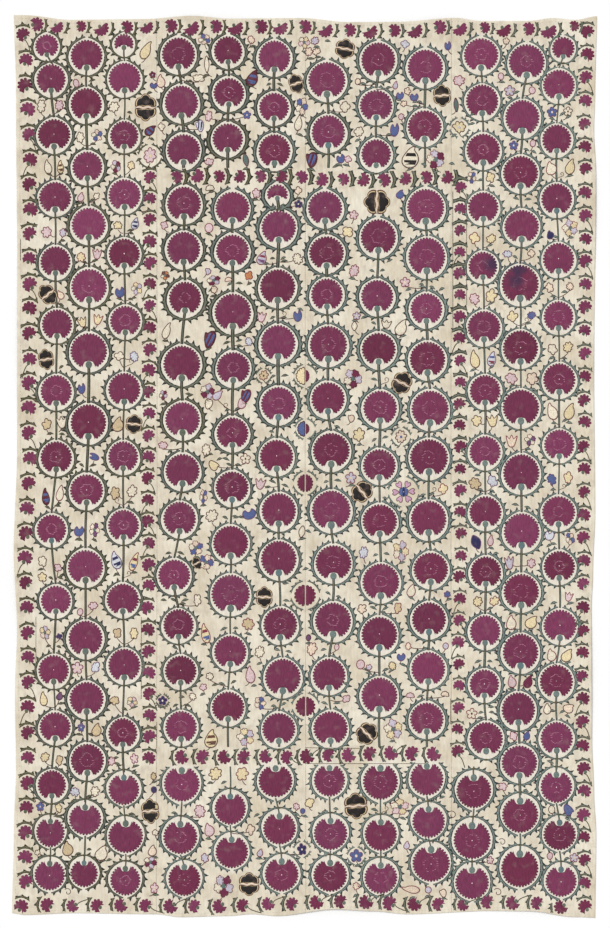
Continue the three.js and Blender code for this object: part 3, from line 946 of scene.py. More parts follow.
def wreath(x, up, radius, turn, width, green, is_close):
    """Two thorny arms that meet at a cross-bar under the calyx and stay open at the other end.

    Where a border is close, they stop at either side of the calyx and have no cross-bar.
    """
    first = CLOSE_ARM_START if is_close else ARM_START
    drop = 0 if is_close else WREATH_DROP
    offset = ARM_GAP + 0.5 * width
    flare, flare_start = ARM_FLARE
    shares = np.linspace(0, 1, 28)
    for side in (-1, 1):
        angles = -90 + side * (first + shares * (179 - first - rng.uniform(*ARM_SHORT)))
        reach = radius + offset - drop * np.sin(np.radians(angles))
        reach += flare * smooth((shares - flare_start) / (1 - flare_start))
        reach += ARM_WAVER * np.sin(np.radians(angles * 3 + rng.uniform(0, 360)))
        line = placed(polar(angles, reach), x, up, turn)
        arm(x, line, width, THORN, max(FEWEST_THORNS, round(radius / THORN_PITCH)), -side, green)
    if not is_close:
        bar = np.array(((-BAR_REACH, 0), (0, 0), (BAR_REACH, 0))) - (0, radius + offset + drop)
        stitch("green", x).even_band(placed(bar, x, up, turn), BAR_HALVES, BAR_RISE, toned("joint"))


def stem(start, end, width):
    line = np.linspace(start, end, 6)
    line[:, 0] += STEM_SWAY * rng.uniform(-1, 1) * np.sin(np.linspace(0, math.pi, 6))
    colour = 0.5 * green_at(*start) + 0.5 * toned("stem")
    half = 0.5 * width * rng.uniform(*STEM_SPREAD)
    two_tone(stitch("green", start[0]), line, half, half, colour)


def blossom(x, up, radius, turn, width, is_close):
    green = green_at(x, up)
    green = green + rng.uniform(*BLUE_DRIFT) * (linear(THREADS["bluegreen"]) - green)
    wreath(x, up, radius, turn, width, green, is_close)
    rosette(x, up, radius, turn)
    calyx(x, up, radius, turn, toned("bluecalyx") if rng.random() < BLUE_SHARE else green)
    if radius > HALF_BLOSSOM:
        pale_middle(x, up, radius, turn)
    reach = radius + ARM_GAP + width
    taken.append((x, up, reach + 2))
    wreaths.append((x, up, reach))


def width_at(widths, up):
    """Between the width in the upper part of the cloth and the width in its lower part."""
    upper, lower = widths
    return lower + (upper - lower) * smooth((up + WIDTH_CHANGE) / (2 * WIDTH_CHANGE))


def column_of_blossoms(column):
    """One column, with the stem from each blossom to the next. Returns the foot of each stem."""
    blossoms = column["blossoms"]
    turned = [row for row in blossoms if row][-column["turned"]:]
    feet = []
    for before, row, after in zip([None, *blossoms], blossoms, [*blossoms[1:], None]):
        if row is None:
            continue
        x, up, radius = row
        width = width_at(column["arm"], up) * rng.uniform(*ARM_SPREAD)
        reach = radius + ARM_GAP + width
        root = (HALF_STEM_START if radius < HALF_BLOSSOM else STEM_START) * radius
        is_turned = row in turned
        is_close = is_turned and before is None and up + reach > LOWER_START + 2
        blossom(x, up, radius, 180 if is_turned else 0, width, is_close)
        if is_turned and before:
            feet.append((x, up + reach))
            stem((x, up + root), (before[0], before[1] - THIN_STEM_END * before[2]), THIN_STEM)
        elif is_turned and not is_close:
            stem((x, up + root), (x, LOWER_START), THIN_STEM)
        elif not is_turned and after:
            feet.append((after[0], after[1] + after[2] + ARM_GAP + width))
            stem((x, up - root), (after[0], after[1] + after[2] + STEM_GAP), STEM_SHARE * width)
        elif not is_turned:
            stem((x, up - root), (x, UPPER_STOP if up > 0 else LOWER_STOP), STEM_SHARE * width)
    return feet


# Borders

def is_inside(line):
    """Whether a line keeps clear of the outer edge."""
    return all(edge_distance(line[:, 0], line[:, 1]) > EDGE_ROOM)


def fan_flower(x, up, turn, wide, shape):
    """The toothed half of a flower, or a crescent. Returns the place of its calyx."""
    middle = np.array((x, up)) + shape["shift"]
    reach = shape["growth"] * wide
    edge = saw_edge(shape["start"], 180 - shape["start"], FAN_EDGE * reach, FAN_TEETH, FAN_TOOTH * wide)
    outline = placed(np.vstack([edge, np.array(shape["base"]) * reach]), *middle, turn)
    heart = spot_above(shape["heart"] * reach, *middle, turn)
    stitch("crimson", x).patch(outline, heart, ROSETTE_RISE, crimson_tone())
    return spot_above(shape["foot"] * wide, *middle, turn)


def arch(x, up, turn, bow, thick, green):
    """A thorny arch, cut shorter where the cloth's edge is near."""
    for low, high in ARCH_ENDS:
        line = placed(polar(np.linspace(90 - low, 90 + high, 12), bow), x, up, turn)
        if is_inside(line):
            arm(x, line, thick, ARCH_THORN, ARCH_THORNS, -1, green, ARCH_TAPER)
            return


def fan(x, up, lean, side, pitch, row):
    """A half blossom with hooked ends, its calyx below, a thorny arch above and a vine to the next one."""
    face = row["face"]
    wide = min(row["wide"] * rng.uniform(*FAN_SPREAD), FAN_ROOM * edge_distance(x, up))
    foot = fan_flower(x, up, face + lean, wide, CRESCENT if lean < CRESCENT_LEAN else FAN)
    green = 0.45 * green_at(x, up) + 0.55 * toned("joint")
    colour = 0.9 * green + 0.2 * toned("calyx")
    ring = oval(foot, FAN_CALYX * wide, 0.08, 12)
    # the fan's calyx gets painted shade at the foot of its padding
    stitch("green", x).patch(ring, foot, FAN_CALYX_RISE, colour, rim=CALYX_RIM_SHADE)
    thick = width_at(row["arch"], up)
    bow = wide + ARCH_GAP + 0.5 * thick
    arch(x, up, face + ARCH_LEAN * lean, bow, thick, green)
    start = np.array((0, VINE_START * wide))
    end = np.array((side * VINE_END[0] * bow, VINE_END[1] * bow - pitch))
    shares = np.linspace(0, 1, 8)[:, None] ** VINE_BEND
    vine = placed(start + (end - start) * shares, x, up, face)
    if rng.random() < row["vines"] and is_inside(vine):
        stitch("green", x).even_band(vine, VINE_HALF_WIDTH, VINE_RISE, toned("joint", 0.2))
    taken.append((x, up, wide + 10))


def border(row):
    path = np.array(row["path"], float)
    count = row["count"]
    pitch = lengths_along(path)[-1] / (count - 1)
    for number, spot in enumerate(at_shares(path, np.linspace(0, 1, count))):
        x, up = spot + rng.uniform(-FAN_STRAY, FAN_STRAY, 2)
        is_odd = number % 2
        lean = row["lean"][is_odd] + rng.uniform(-FAN_SWING, FAN_SWING)
        fan(x, up, lean, -1 if is_odd else 1, pitch, row)


# Fillers

BUD = lobed(2, 0.47, 0.03, 20)
BOTEH = rounded([(0, -0.5), (0.3, -0.4), (0.46, -0.15), (0.4, 0.12), (0.24, 0.3), (0.22, 0.5),
                 (-0.04, 0.38), (-0.26, 0.16), (-0.43, -0.08), (-0.42, -0.3), (-0.25, -0.45)])
PETAL = rounded(mirrored([(0, 0), (0.28, 0.3), (0.5, 0.7), (0.28, 1.0), (0, 0.8)]))
SHELL_ANGLES = np.linspace(6, 174, 43)
HALF_SHELL = np.vstack([polar(SHELL_ANGLES, 0.4 + 0.1 * petals(SHELL_ANGLES, 6)),
                        mirrored([(-0.44, 0.05), (-0.2, 0.07), (0, 0.05)])])
HALF_ANGLES = np.linspace(-4, 184, 33)
OUTLINES = {
    "half": np.vstack([polar(HALF_ANGLES, 0.42 + 0.08 * petals(HALF_ANGLES, 8)),
                       mirrored([(-0.3, -0.12), (0, -0.06)])]),
    "star": petalled(5, 0.22, 0.5),
    "bud": BUD,
    "tulip": rounded(mirrored([(0, -0.5), (0.25, -0.38), (0.4, 0.0), (0.5, 0.45), (0.2, 0.18), (0, 0.5)])),
    "boteh": BOTEH,
    "banded": BOTEH,
    "bell": rounded([(-0.5, -0.1), (-0.3, -0.42), (0.1, -0.48), (0.42, -0.25), (0.5, 0.15), (0.25, 0.45),
                     (0.12, 0.2), (-0.1, 0.15), (-0.28, 0.35), (-0.45, 0.2)]),
    "leaf": rounded(mirrored([(0, -0.5), (0.36, -0.2), (0.42, 0.08), (0.24, 0.34), (0, 0.5)])),
}
LOBES = {"maple": (4, 8), "daisy": (7, 10)}       # fewest lobes, and one more than the most
STRIPES = ((0.02, 0.2), (-0.36, -0.12))           # lower and upper level of a banded drop's two bands
STRIPE_SHARE = 0.88         # a band's width, in shares of the drop's width
SHELL_LAYERS = ((1.06, 0.45, "brown"), (0.97, 0.65, "tan"), (0.88, 0.8, "black"))   # size, height, thread
HEART_LAYERS = ((lobed(6, 0.21, 0.02), 0.8, "blue"), (BUD * (0.17, 0.46), 0.95, "navy"),
                (BUD * (0.06, 0.06), 1.1, "white"))                                 # shape, height, thread


def outline_colour(colour):
    if colour in ("blue", "navy", "white"):
        return "purple"
    if colour in ("crimson", "teal"):
        return "wine"
    if colour in ("pink", "lilac") or rng.random() < ROSE_SHARE:
        return "rose"
    return "maroon"


def uneven_petals(fewest, limit):
    """A soft flower or leaf outline with broad, uneven lobes, cleft at one side."""
    angles = np.arange(72) * 5.0
    turn = rng.uniform(0, 360)
    lobes = petals(angles, rng.integers(fewest, limit), turn)
    reach = 0.26 + (0.19 + 0.04 * np.sin(np.radians(angles - turn))) * lobes
    reach += 0.03 * np.sin(np.radians(2 * angles + turn))
    away = np.abs((angles - rng.uniform(0, 360)) % 360 - 180)
    cleft = rng.uniform(*CLEFT_DEPTH) * np.exp(-(away / CLEFT_WIDTH) ** 2)
    return polar(angles, reach * (1 - cleft))


def filled(shape, colour, x, up, wide, tall, turn, width=CHAIN_WIDTH):
    """A flower or leaf filled with one colour and edged with chain stitch."""
    outline = uneven_petals(*LOBES[shape]) if shape in LOBES else OUTLINES[shape]
    outline = placed(outline * (wide, tall), x, up, turn)
    work = stitch("mixed", x)
    work.patch(outline, np.array((x, up)), FILLER_RISE, toned(colour))
    work.chain(outline, toned(outline_colour(colour), 0.15), width)


def flower_heart(x, up, size, colour):
    spot = np.array((x, up))
    stitch("mixed", x).patch(oval(spot, size, 0.1, 10), spot, HEART_RISE, toned(colour))


def sides_at(outline, level):
    """Where a level line meets an outline, at its left and at its right."""
    after = np.roll(outline, -1, axis=0)
    crossing = (outline[:, 1] - level) * (after[:, 1] - level) < 0
    share = (level - outline[crossing, 1]) / (after[crossing, 1] - outline[crossing, 1])
    places = outline[crossing, 0] + share * (after[crossing, 0] - outline[crossing, 0])
    return places.min(), places.max()


def banded(colour, x, up, wide, tall, turn):
    """A leaf drop with two bands across it."""
    ground_colour, *threads = BANDS[colour]
    filled("banded", ground_colour, x, up, wide, tall, turn)
    for thread, (low, high) in zip(threads, STRIPES):
        levels = np.linspace(low, high, 5)
        sides = STRIPE_SHARE * np.array([sides_at(BOTEH, level) for level in levels])
        left = np.column_stack([sides[:, 0], levels])
        right = np.column_stack([sides[:, 1], levels])
        strip = np.vstack([right, left[::-1]]) * (wide, tall)
        middle = placed([strip.mean(axis=0)], x, up, turn)[0]
        strip = placed(strip, x, up, turn)
        stitch("mixed", x).patch(strip, middle, OUTLINE_RISE, toned(thread), STRIPE_PAD)


def heart_flower(x, up, size):
    """Six heart-shaped petals round a pale blue middle with a navy bar and a white dot."""
    work = stitch("mixed", x)
    for angle in np.arange(3, 360, 60):
        petal = placed(PETAL * (0.27 * size, 0.3 * size) + (0, 0.2 * size), x, up, angle - 90)
        work.patch(petal, petal.mean(axis=0), FILLER_RISE, toned("mauve"))
        work.chain(petal, toned("maroon"), HEART_CHAIN)
    for shape, rise, thread in HEART_LAYERS:
        work.patch(placed(shape * size, x, up), np.array((x, up)), rise, toned(thread))
    ringed(x, up, size)
    taken.append((x, up, 0.5 * size))


def posy(colour, x, up, wide, tall, turn):
    """A round of five small flowers in turning colours."""
    threads = (colour, PARTNERS.get(colour, "cream"), "cream")
    start = rng.uniform(0, 72)
    for number in range(5):
        spot = placed(polar([start + 72 * number], 0.29) * (wide, tall), x, up, turn)[0]
        filled("maple", threads[number % 3], *spot, 0.5 * wide, 0.5 * tall, turn, POSY_CHAIN)
    flower_heart(x, up, 0.13 * wide, "teal")


def half_shell(x, up, wide, tall, turn, side):
    """One black half: a lobed back, a waved front, a tan line inside and a brown line outside."""
    outline = HALF_SHELL * (wide, side * tall)
    middle = np.array((0, side * 0.2 * tall))
    heart = placed([middle], x, up, turn)[0]
    for size, rise, thread in SHELL_LAYERS:
        layer = placed((outline - middle) * size + middle, x, up, turn)
        stitch("mixed", x).patch(layer, heart, rise, toned(thread, 0.15), STEEP_PAD)


def shell(x, up, wide, tall, turn=0):
    """A black-brown flower of two halves with a pale waved band between them."""
    for side in (-1, 1):
        half_shell(x, up, wide, tall, turn, side)
    across = np.linspace(-0.48, 0.48, 20)
    line = placed(np.column_stack([across * wide, 0.02 * tall * np.sin(across * 15)]), x, up, turn)
    half = 0.11 * tall * (1 - (across / 0.5) ** 4)
    stitch("mixed", x).even_band(line, half, FILLER_RISE + 0.1, toned("brown"))
    stitch("mixed", x).even_band(line, 0.75 * half, FILLER_RISE + 0.3, toned("peach"))
    taken.append((x, up, 0.5 * max(wide, tall)))


def tendril(x, up, wide):
    line = placed(polar(np.linspace(150, 500, 20), np.linspace(0.12, 0.5, 20) * wide), x, up)
    stitch("mixed", x).even_band(line, TENDRIL_HALF_WIDTH, TENDRIL_RISE, toned("maroon"))
    taken.append((x, up, 0.5 * wide))


def ringed(x, up, size):
    """Four small thorny arcs round a special flower."""
    colour = green_at(x, up)
    for start in (10, 100, 190, 280):
        line = placed(polar(np.linspace(start, start + 72, 9), RING_REACH * size), x, up)
        arm(x, line, RING_WIDTH, RING_THORN, 4, -1, colour)


def stalk(x, up, wide, tall, feet):
    """A thin stalk: down to the foot of a near stem, straight across to that stem, or short and bent."""
    foot = min(feet, key=lambda spot: math.hypot(spot[0] - x, spot[1] - up))
    side = 1 if foot[0] > x else -1
    is_near = math.hypot(foot[0] - x, foot[1] - up) < STALK_REACH
    start = np.array((x, up - 0.42 * tall))
    choice = rng.random()
    if is_near and choice < 0.4 and foot[1] < up - 0.2 * tall:
        end = np.array(foot)
    elif is_near and choice < 0.52 and foot[1] < up + 12:
        start = np.array((x + side * 0.35 * wide, up - 0.2 * tall))
        end = np.array((foot[0], start[1] + rng.uniform(-8, 2)))
    else:
        end = start + (side * rng.uniform(5, 14), -rng.uniform(8, 15))
    line = bowed(start, end, 7, -STALK_SAG)
    stitch("mixed", x).even_band(line, STALK_HALF_WIDTH, THIN_RISE, toned("maroon", 0.2))
    if rng.random() < STALK_LEAVES:
        small_leaf(*line[rng.integers(3, 7)], -side * rng.uniform(15, 22))


def small_leaf(x, up, reach):
    """A short green leaf that leans out from a stalk."""
    line = bowed((x, up), (x + reach, up + rng.uniform(-10, 10)), len(LEAF_HALVES), LEAF_BOW)
    two_tone(stitch("green", x), line, LEAF_HALVES, LEAF_HALVES, green_at(x, up))


def curl(x, up, side):
    """A small dark curl that leans out from a stem."""
    hook = polar(np.linspace(-90, 250, 14), np.linspace(7.5, 2.5, 14)) + (14, 8)
    line = np.vstack([((0, -6), (5, -3)), hook]) * (side, 1) * rng.uniform(0.8, 1.15)
    stitch("mixed", x).even_band(placed(line, x, up), CURL_HALF_WIDTH, THIN_RISE, toned("brown", 0.2))


def is_free(x, up, room):
    """Whether a place is clear of everything that is stitched so far."""
    return all(math.hypot(spot[0] - x, spot[1] - up) > room + spot[2] for spot in taken)


def sprigs(feet):
    """Leaves and a few curls beside the stems, where there is room for them."""
    for x, up in feet:
        for side in (-1, 1):
            level = up + rng.uniform(2, 14)
            if not is_free(x + 14 * side, level + 5, 6):
                continue
            if rng.random() < SPRIG_CURLS:
                curl(x + 2 * side, level, side)
            else:
                small_leaf(x + 7 * side, level, side * rng.uniform(14, 22))


def loose_leaves():
    """Leaves scattered over the ground that is still bare."""
    spots = [rng.uniform(-reach, reach, LOOSE_LEAVES) for reach in LOOSE_REACH]
    for x, up in np.column_stack(spots):
        if is_free(x, up, 8):
            small_leaf(x - 8, up, 17 * rng.choice((-1, 1)))
            taken.append((x, up, 9))


def filler(kind, feet, colour, x, up, wide, tall, turn=0):
    """A small flower or leaf with its stalk."""
    taken.append((x, up, 0.5 * max(wide, tall)))
    lean = turn + rng.uniform(-12, 12)
    stalk(x, up, wide, 0.3 * tall if kind == "half" else tall, feet)
    if kind == "banded":
        banded(colour, x, up, wide, tall, lean)
    elif kind == "posy":
        posy(colour, x, up, wide, tall, lean)
    else:
        filled(kind, colour, x, up, wide, tall, lean)
    is_ringed = (x, up) in RINGED
    if kind == "star" or is_ringed:
        flower_heart(x, up, 0.12 * wide, PARTNERS.get(colour, "brown"))
    if is_ringed:
        ringed(x, up, max(wide, tall))


def seam_rosette(up, *halves):
    """A small flower that the middle seam parts into two halves, left and right."""
    x = float(eased(SEAMS[1], up))
    for side, (colour, wide, tall) in zip((-1, 1), halves):
        half = saw_edge(-90, 90, 0.96, 8, 0.16) * (side * wide, 0.5 * tall)
        half = np.vstack([half, (0, 0.45 * tall)])
        half[:, 0] = side * np.maximum(side * half[:, 0], 0)
        outline = placed(half, x + side * SEAM_INSET, up)
        heart = np.array((x + side * (SEAM_INSET + 0.4 * wide), up))
        group = "crimson" if colour == "crimson" else "mixed"
        work = stitch(group, x + side * SEAM_SIDE)
        work.patch(outline, heart, ROSETTE_RISE, toned(colour))
        if group == "mixed":
            work.chain(outline, toned("maroon"))
    size = max(tall for colour, wide, tall in halves)
    taken.append((x, up, 0.6 * size))
    ringed(x, up, 0.98 * size)


# Sewing

def seam_stitches(seam):
    """Overcast stitches that hold two loom widths edge to edge."""
    for level in np.arange(*SEAM_ENDS, SEAM_STITCH_STEP):
        x = float(eased(seam, level))
        reach = np.array((SEAM_STITCH_REACH, rng.uniform(0.6, 1.6)))
        line = np.outer((-1, 0, 1), reach) + (x, level)
        work = stitch("mixed", x - SEAM_SIDE)
        work.even_band(line, SEAM_STITCH_HALF_WIDTH, SEAM_STITCH_HEIGHTS, toned("sewing", 0.1))


def running_stitches(line, step, length, colour, width, height):
    """Short separate stitches along a line."""
    total = lengths_along(line)[-1]
    for start in np.arange(0, total - length, step):
        places = at_shares(line, np.array((0, 0.5, 1)) * length / total + start / total)
        work = stitch("mixed", places[1, 0])
        work.even_band(places, width, np.array((0.1, 1, 0.1)) * height, toned(colour, 0.12))


def hem_lines():
    """The four lines on which the hem is sewn down."""
    levels = np.linspace(-1225, 1222, 120)
    places = np.linspace(-790, 788, 90)
    inset = HEM_WIDTH - 1
    yield np.column_stack([eased(LEFT_EDGE, levels) + inset, levels])
    yield np.column_stack([eased(RIGHT_EDGE, levels) - inset, levels])
    yield np.column_stack([places, eased(TOP_END, places) - inset])
    yield np.column_stack([places, eased(BOTTOM_END, places) + inset])


# Meshes

def face_places(points, faces, panel, chunks, first, last):
    """Places on the texture for each corner: a panel is cut into shorter lengths, set side by side."""
    middles = points[faces][:, :, 1].mean(axis=1)
    chunk = np.clip((middles + BAKE_REACH) / (2 * BAKE_REACH) * chunks, 0, chunks - 1).astype(int)
    chunk = np.repeat(chunk, 3)
    x, up, height = points[faces].reshape(-1, 3).T
    left, right = PANEL_REACH[panel]
    span = 2 * BAKE_REACH / chunks
    across = (chunk + BAKE_GAP + (1 - 2 * BAKE_GAP) * (x - left) / (right - left)) / chunks
    along = (up + BAKE_REACH - chunk * span + BAKE_MARGIN) / (span + 2 * BAKE_MARGIN)
    return np.column_stack([first + (last - first) * across, along])


def linked(name, data):
    """A new object in the scene."""
    thing = bpy.data.objects.new(name, data)
    bpy.context.scene.collection.objects.link(thing)
    return thing


def mesh_object(name, points, faces, places, material):
    """An object from arrays: points in millimetres, triangles, and a texture place for each corner."""
    mesh = bpy.data.meshes.new(name)
    mesh.vertices.add(len(points))
    mesh.vertices.foreach_set("co", (points * MM).ravel())
    mesh.loops.add(3 * len(faces))
    mesh.loops.foreach_set("vertex_index", faces.ravel().astype(np.int32))
    mesh.polygons.add(len(faces))
    mesh.polygons.foreach_set("loop_start", np.arange(0, 3 * len(faces), 3, dtype=np.int32))
    mesh.polygons.foreach_set("use_smooth", np.ones(len(faces), bool))
    mesh.uv_layers.new(name="OFBake").data.foreach_set("uv", places.ravel())
    mesh.update(calc_edges=True)
    mesh.validate()
    mesh.materials.append(material)
    return linked(name, mesh)


def grid_shares(length, start, end):
    """Shares of a length at which the ground has a grid line: close at its edges, even between them."""
    inner = length - start[-1] - end[-1]
    cells = round(inner / GRID_STEP)
    even = start[-1] + inner * np.arange(1, cells) / cells
    return np.concatenate([start, even, length - np.array(end[::-1])]) / length


def kept_clean(x, up):
    """One inside a wreath, where the cotton has stayed paler, and nought outside it."""
    share = np.zeros(len(x))
    for middle, level, reach in wreaths:
        away = np.hypot(x - middle, up - level)
        share = np.maximum(share, falling(away - reach + CLEAN_INSET, 1, CLEAN_FADE))
    return share


def rim_loop(across, along):
    """The grid's outer points in order, anticlockwise seen from above."""
    bottom = np.arange(across - 1)
    right = np.arange(along - 1) * across + across - 1
    top = (along - 1) * across + np.arange(across - 1, 0, -1)
    left = np.arange(along - 1, 0, -1) * across
    return np.concatenate([bottom, right, top, left])


def ground_points(panel):
    """Lower and upper points of one loom width's cotton, and how many lie across it and along it."""
    edges = [LEFT_EDGE, *SEAMS, RIGHT_EDGE]
    is_first = panel == 0
    is_last = panel == len(SEAMS)
    width = float(eased(edges[panel + 1], 0.0) - eased(edges[panel], 0.0))
    across = grid_shares(width, HEM_LINES if is_first else SEAM_LINES, HEM_LINES if is_last else SEAM_LINES)
    upward = grid_shares(2.0 * HALF_LENGTH, HEM_LINES, HEM_LINES)
    share, rise = np.meshgrid(across, upward)
    level = HALF_LENGTH * (2 * rise - 1)
    left = eased(edges[panel], level) + (0 if is_first else SEAM_GAP / 2)
    right = eased(edges[panel + 1], level) - (0 if is_last else SEAM_GAP / 2)
    x = left + (right - left) * share
    bottom = eased(BOTTOM_END, x)
    up = bottom + (eased(TOP_END, x) - bottom) * rise
    heights = (lift(x, up) + pucker(x, up), cloth_top(x, up))
    layers = [np.column_stack([x.ravel(), up.ravel(), height.ravel()]) for height in heights]
    return np.vstack(layers), len(across), len(upward)


def ground_faces(across, along):
    """Triangles of the underside, of the rim and of the upper face."""
    layer = across * along
    corner = (np.arange(along - 1)[:, None] * across + np.arange(across - 1)).ravel()
    beside = corner + 1
    beyond = corner + across + 1
    above = corner + across
    rim = rim_loop(across, along)
    after = np.roll(rim, -1)
    under = quads(beyond, beside, corner, above)
    sides = quads(rim, after, layer + after, layer + rim)
    over = layer + quads(corner, beside, beyond, above)
    return under, sides, over


def ground(panel, material):
    """The cotton of one loom width: an upper and a lower face with a rim round them."""
    points, across, along = ground_points(panel)
    under, sides, over = ground_faces(across, along)
    places = [
        face_places(points, under, panel, 1, BAKE_SPLIT, 1.0),
        face_places(points, sides, panel, BAKE_CHUNKS, 0.0, BAKE_SPLIT),
        face_places(points, over, panel, BAKE_CHUNKS, 0.0, BAKE_SPLIT),
    ]
    faces = np.vstack([under, sides, over])
    thing = mesh_object(f"cotton_{panel + 1}", points, faces, np.vstack(places), material)
    clean = thing.data.attributes.new("clean", "FLOAT", "POINT")
    clean.data.foreach_set("value", kept_clean(points[:, 0], points[:, 1]))
    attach(thing, BODY)
    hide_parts(f"panel_{panel + 1}")
    return thing


def embroidery(group, panel, material):
    """All the threadwork of one colour group on one panel, as one mesh that follows the cotton."""
    work = silk[(group, panel)]
    points = np.vstack(work.points)
    points[:, 2] += cloth_top(points[:, 0], points[:, 1])
    faces = np.vstack(work.under + work.over)
    places = face_places(points, faces, panel, BAKE_CHUNKS, 0.0, 1.0)
    thing = mesh_object(f"{group}_silk_{panel + 1}", points, faces, places, material)
    colours = np.vstack(work.colours)
    dye = thing.data.color_attributes.new("thread", "FLOAT_COLOR", "POINT")
    dye.data.foreach_set("color", np.column_stack([colours, np.ones(len(colours))]).ravel())
    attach(thing, BODY)
    return thing


# Materials

def new_material(name, roughness, sheen, specular):
    material = bpy.data.materials.new(name)
    material.use_nodes = True
    surface = material.node_tree.nodes["Principled BSDF"]
    surface.inputs["Roughness"].default_value = roughness
    surface.inputs["Sheen Weight"].default_value = sheen
    surface.inputs["Sheen Roughness"].default_value = 0.5
    surface.inputs["Specular IOR Level"].default_value = specular
    return material, material.node_tree, surface


def node(tree, kind, **values):
    """A new shader node with its plain inputs set."""
    made = tree.nodes.new("ShaderNode" + kind)
    for name, value in values.items():
        made.inputs[name.replace("_", " ")].default_value = value
    return made


def noise(tree, scale, detail, stretch=(1, 1, 1)):
    """Cloudy variation over the cloth, finer for a larger scale."""
    fit = node(tree, "Mapping", Scale=stretch)
    grain = node(tree, "TexNoise", Scale=scale, Detail=detail)
    tree.links.new(node(tree, "TexCoord").outputs["Object"], fit.inputs["Vector"])
    tree.links.new(fit.outputs["Vector"], grain.inputs["Vector"])
    return grain.outputs["Fac"]


def weave(tree, direction, pitch):
    """Parallel threads across the cloth."""
    scale = 2 * math.pi / (WAVE_RATE * pitch * MM)
    threads = node(tree, "TexWave", Scale=scale, Distortion=1.5, Detail=2)
    threads.bands_direction = direction
    tree.links.new(node(tree, "TexCoord").outputs["Object"], threads.inputs["Vector"])
    return threads.outputs["Fac"]


def ranged(tree, value, low, high, to_low, to_high):
    fit = node(tree, "MapRange", From_Min=low, From_Max=high, To_Min=to_low, To_Max=to_high)
    tree.links.new(value, fit.inputs["Value"])
    return fit.outputs["Result"]


def clouds(tree, scale, detail, span, becomes, stretch=(1, 1, 1)):
    return ranged(tree, noise(tree, scale, detail, stretch), *span, *becomes)


def mixed(tree, share, first, second, blend="MIX"):
    """Mixes two colours, each a socket or a plain colour."""
    mix = node(tree, "Mix")
    mix.data_type = "RGBA"
    mix.blend_type = blend
    factor, first_in, second_in = mix.inputs[0], mix.inputs[6], mix.inputs[7]
    for socket, value in ((factor, share), (first_in, first), (second_in, second)):
        if isinstance(value, bpy.types.NodeSocket):
            tree.links.new(value, socket)
        else:
            socket.default_value = value
    return mix.outputs[2]


def attribute(tree, name):
    reader = node(tree, "Attribute")
    reader.attribute_name = name
    return reader


def raised(tree, surface, height, strength, distance):
    bump = node(tree, "Bump", Strength=strength, Distance=distance * MM)
    tree.links.new(height, bump.inputs["Height"])
    tree.links.new(bump.outputs["Normal"], surface.inputs["Normal"])


def opaque(colour):
    return (*linear(colour), 1.0)


def cotton_material():
    """Cream hand-loomed cotton: slubby threads, and blotches where it has aged."""
    material, tree, surface = new_material("cream_cotton", 0.92, 0.15, 0.15)
    colour = mixed(tree, clouds(tree, *AGED_CLOUDS), opaque(COTTON_LIGHT), opaque(COTTON_AGED))
    colour = mixed(tree, clouds(tree, *SOILED_CLOUDS), colour, opaque(COTTON_SOILED))
    clean = ranged(tree, attribute(tree, "clean").outputs["Fac"], 0, 1, 0, CLEAN_STRENGTH)
    colour = mixed(tree, clean, colour, opaque(COTTON_CLEAN))
    colour = mixed(tree, 1.0, colour, clouds(tree, *SLUB_CLOUDS, SLUB_STRETCH), "MULTIPLY")
    threads = mixed(tree, 0.5, weave(tree, "X", WARP_PITCH), weave(tree, "Y", WEFT_PITCH))
    tree.links.new(colour, surface.inputs["Base Color"])
    raised(tree, surface, threads, 0.5, 0.25)
    return material


def stained(tree, colour):
    """Darkens the colour to blue-black where ink has run into the cloth."""
    place = node(tree, "TexCoord")
    for x, up, radius, strength in STAINS:
        away = node(tree, "VectorMath")
        away.operation = "DISTANCE"
        away.inputs[1].default_value = (x * MM, up * MM, 0.002)
        tree.links.new(place.outputs["Object"], away.inputs[0])
        ragged = node(tree, "Math")
        ragged.operation = "MULTIPLY"
        tree.links.new(away.outputs["Value"], ragged.inputs[0])
        tree.links.new(clouds(tree, *STAIN_CLOUDS), ragged.inputs[1])
        share = ranged(tree, ragged.outputs[0], 0.3 * radius * MM, radius * MM, strength, 0)
        colour = mixed(tree, share, colour, opaque(INK))
    return colour


def silk_material(name, stretch):
    """Silk thread: its dye varies along each strand, and the strands lie side by side."""
    material, tree, surface = new_material(name, 0.6, 0.12, 0.25)
    dye = attribute(tree, "thread").outputs["Color"]
    strands = noise(tree, STRAND_SCALE, 3, stretch)
    colour = mixed(tree, 1.0, dye, ranged(tree, strands, *STRAND_SPAN, *STRAND_TONES), "MULTIPLY")
    colour = mixed(tree, clouds(tree, *WORN_CLOUDS), colour, opaque(WORN_SILK))
    tree.links.new(stained(tree, colour), surface.inputs["Base Color"])
    raised(tree, surface, strands, 0.5, 0.4)
    return material


# The studio

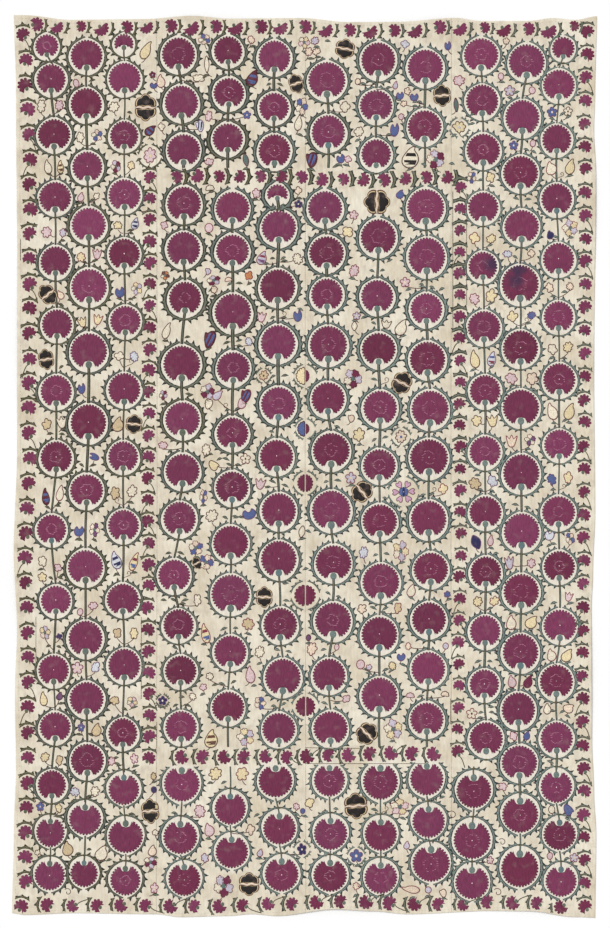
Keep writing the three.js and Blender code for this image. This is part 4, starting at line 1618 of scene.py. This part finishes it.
def floor():
    mesh = bpy.data.meshes.new("floor")
    sides = [(-1, -1), (1, -1), (1, 1), (-1, 1)]
    corners = [(x * FLOOR_REACH, y * FLOOR_REACH, FLOOR_LEVEL) for x, y in sides]
    mesh.from_pydata(corners, [], [(0, 1, 2, 3)])
    material, tree, surface = new_material("pale_floor", 0.9, 0.0, 0.0)
    surface.inputs["Base Color"].default_value = FLOOR_COLOUR
    mesh.materials.append(material)
    thing = linked("floor", mesh)


def light():
    world = bpy.data.worlds.new("studio")
    world.use_nodes = True
    backdrop = world.node_tree.nodes["Background"]
    backdrop.inputs["Color"].default_value = (1, 1, 1, 1)
    backdrop.inputs["Strength"].default_value = SKY_STRENGTH
    bpy.context.scene.world = world
    lamp = bpy.data.lights.new("soft_sun", "SUN")
    lamp.energy = SUN_STRENGTH
    lamp.angle = math.radians(SUN_SOFTNESS)
    linked("soft_sun", lamp).rotation_euler = [math.radians(turn) for turn in SUN_TURN]


def camera():
    """Straight above the cloth. The photo is taller than wide, so the sensor's size is its height."""
    lens = bpy.data.cameras.new("camera")
    lens.sensor_width = SENSOR
    lens.lens = SENSOR * CAMERA_HEIGHT / VIEW_HEIGHT
    lens.clip_end = 100
    eye = linked("camera", lens)
    eye.location = (*CAMERA_PLACE, CAMERA_HEIGHT)
    bpy.context.scene.camera = eye
    bpy.context.scene.view_settings.view_transform = "Standard"


# Making it

def stitch_fillers(feet):
    for row in SHELLS:
        shell(*row)
    for kind, rows in FILLERS.items():
        for row in rows:
            filler(kind, feet, *row)
    heart_flower(*HEART_FLOWER)
    for row in TENDRILS:
        tendril(*row)
    for row in LEAVES:
        filler("leaf", feet, *row)
    for row in SEAM_ROSETTES:
        seam_rosette(*row)


def stitch_everything():
    feet = []
    for column in COLUMNS:
        feet += column_of_blossoms(column)
    for row in BORDERS:
        border(row)
    stitch_fillers(feet)
    sprigs(feet)
    loose_leaves()
    for seam in SEAMS:
        seam_stitches(seam)
    for line in hem_lines():
        running_stitches(line, **HEM_STITCH)
    for start, end in STITCHED_LINES:
        running_stitches(np.linspace(start, end, 8), **LINE_STITCH)


def main():
    floor()
    light()
    camera()
    stitch_everything()
    cotton = cotton_material()
    finishes = {group: silk_material(f"{group}_silk", stretch) for group, stretch in STRANDS.items()}
    for panel in range(len(SEAMS) + 1):
        cloth = ground(panel, cotton)
        threads = [embroidery(group, panel, finish) for group, finish in finishes.items()]


main()
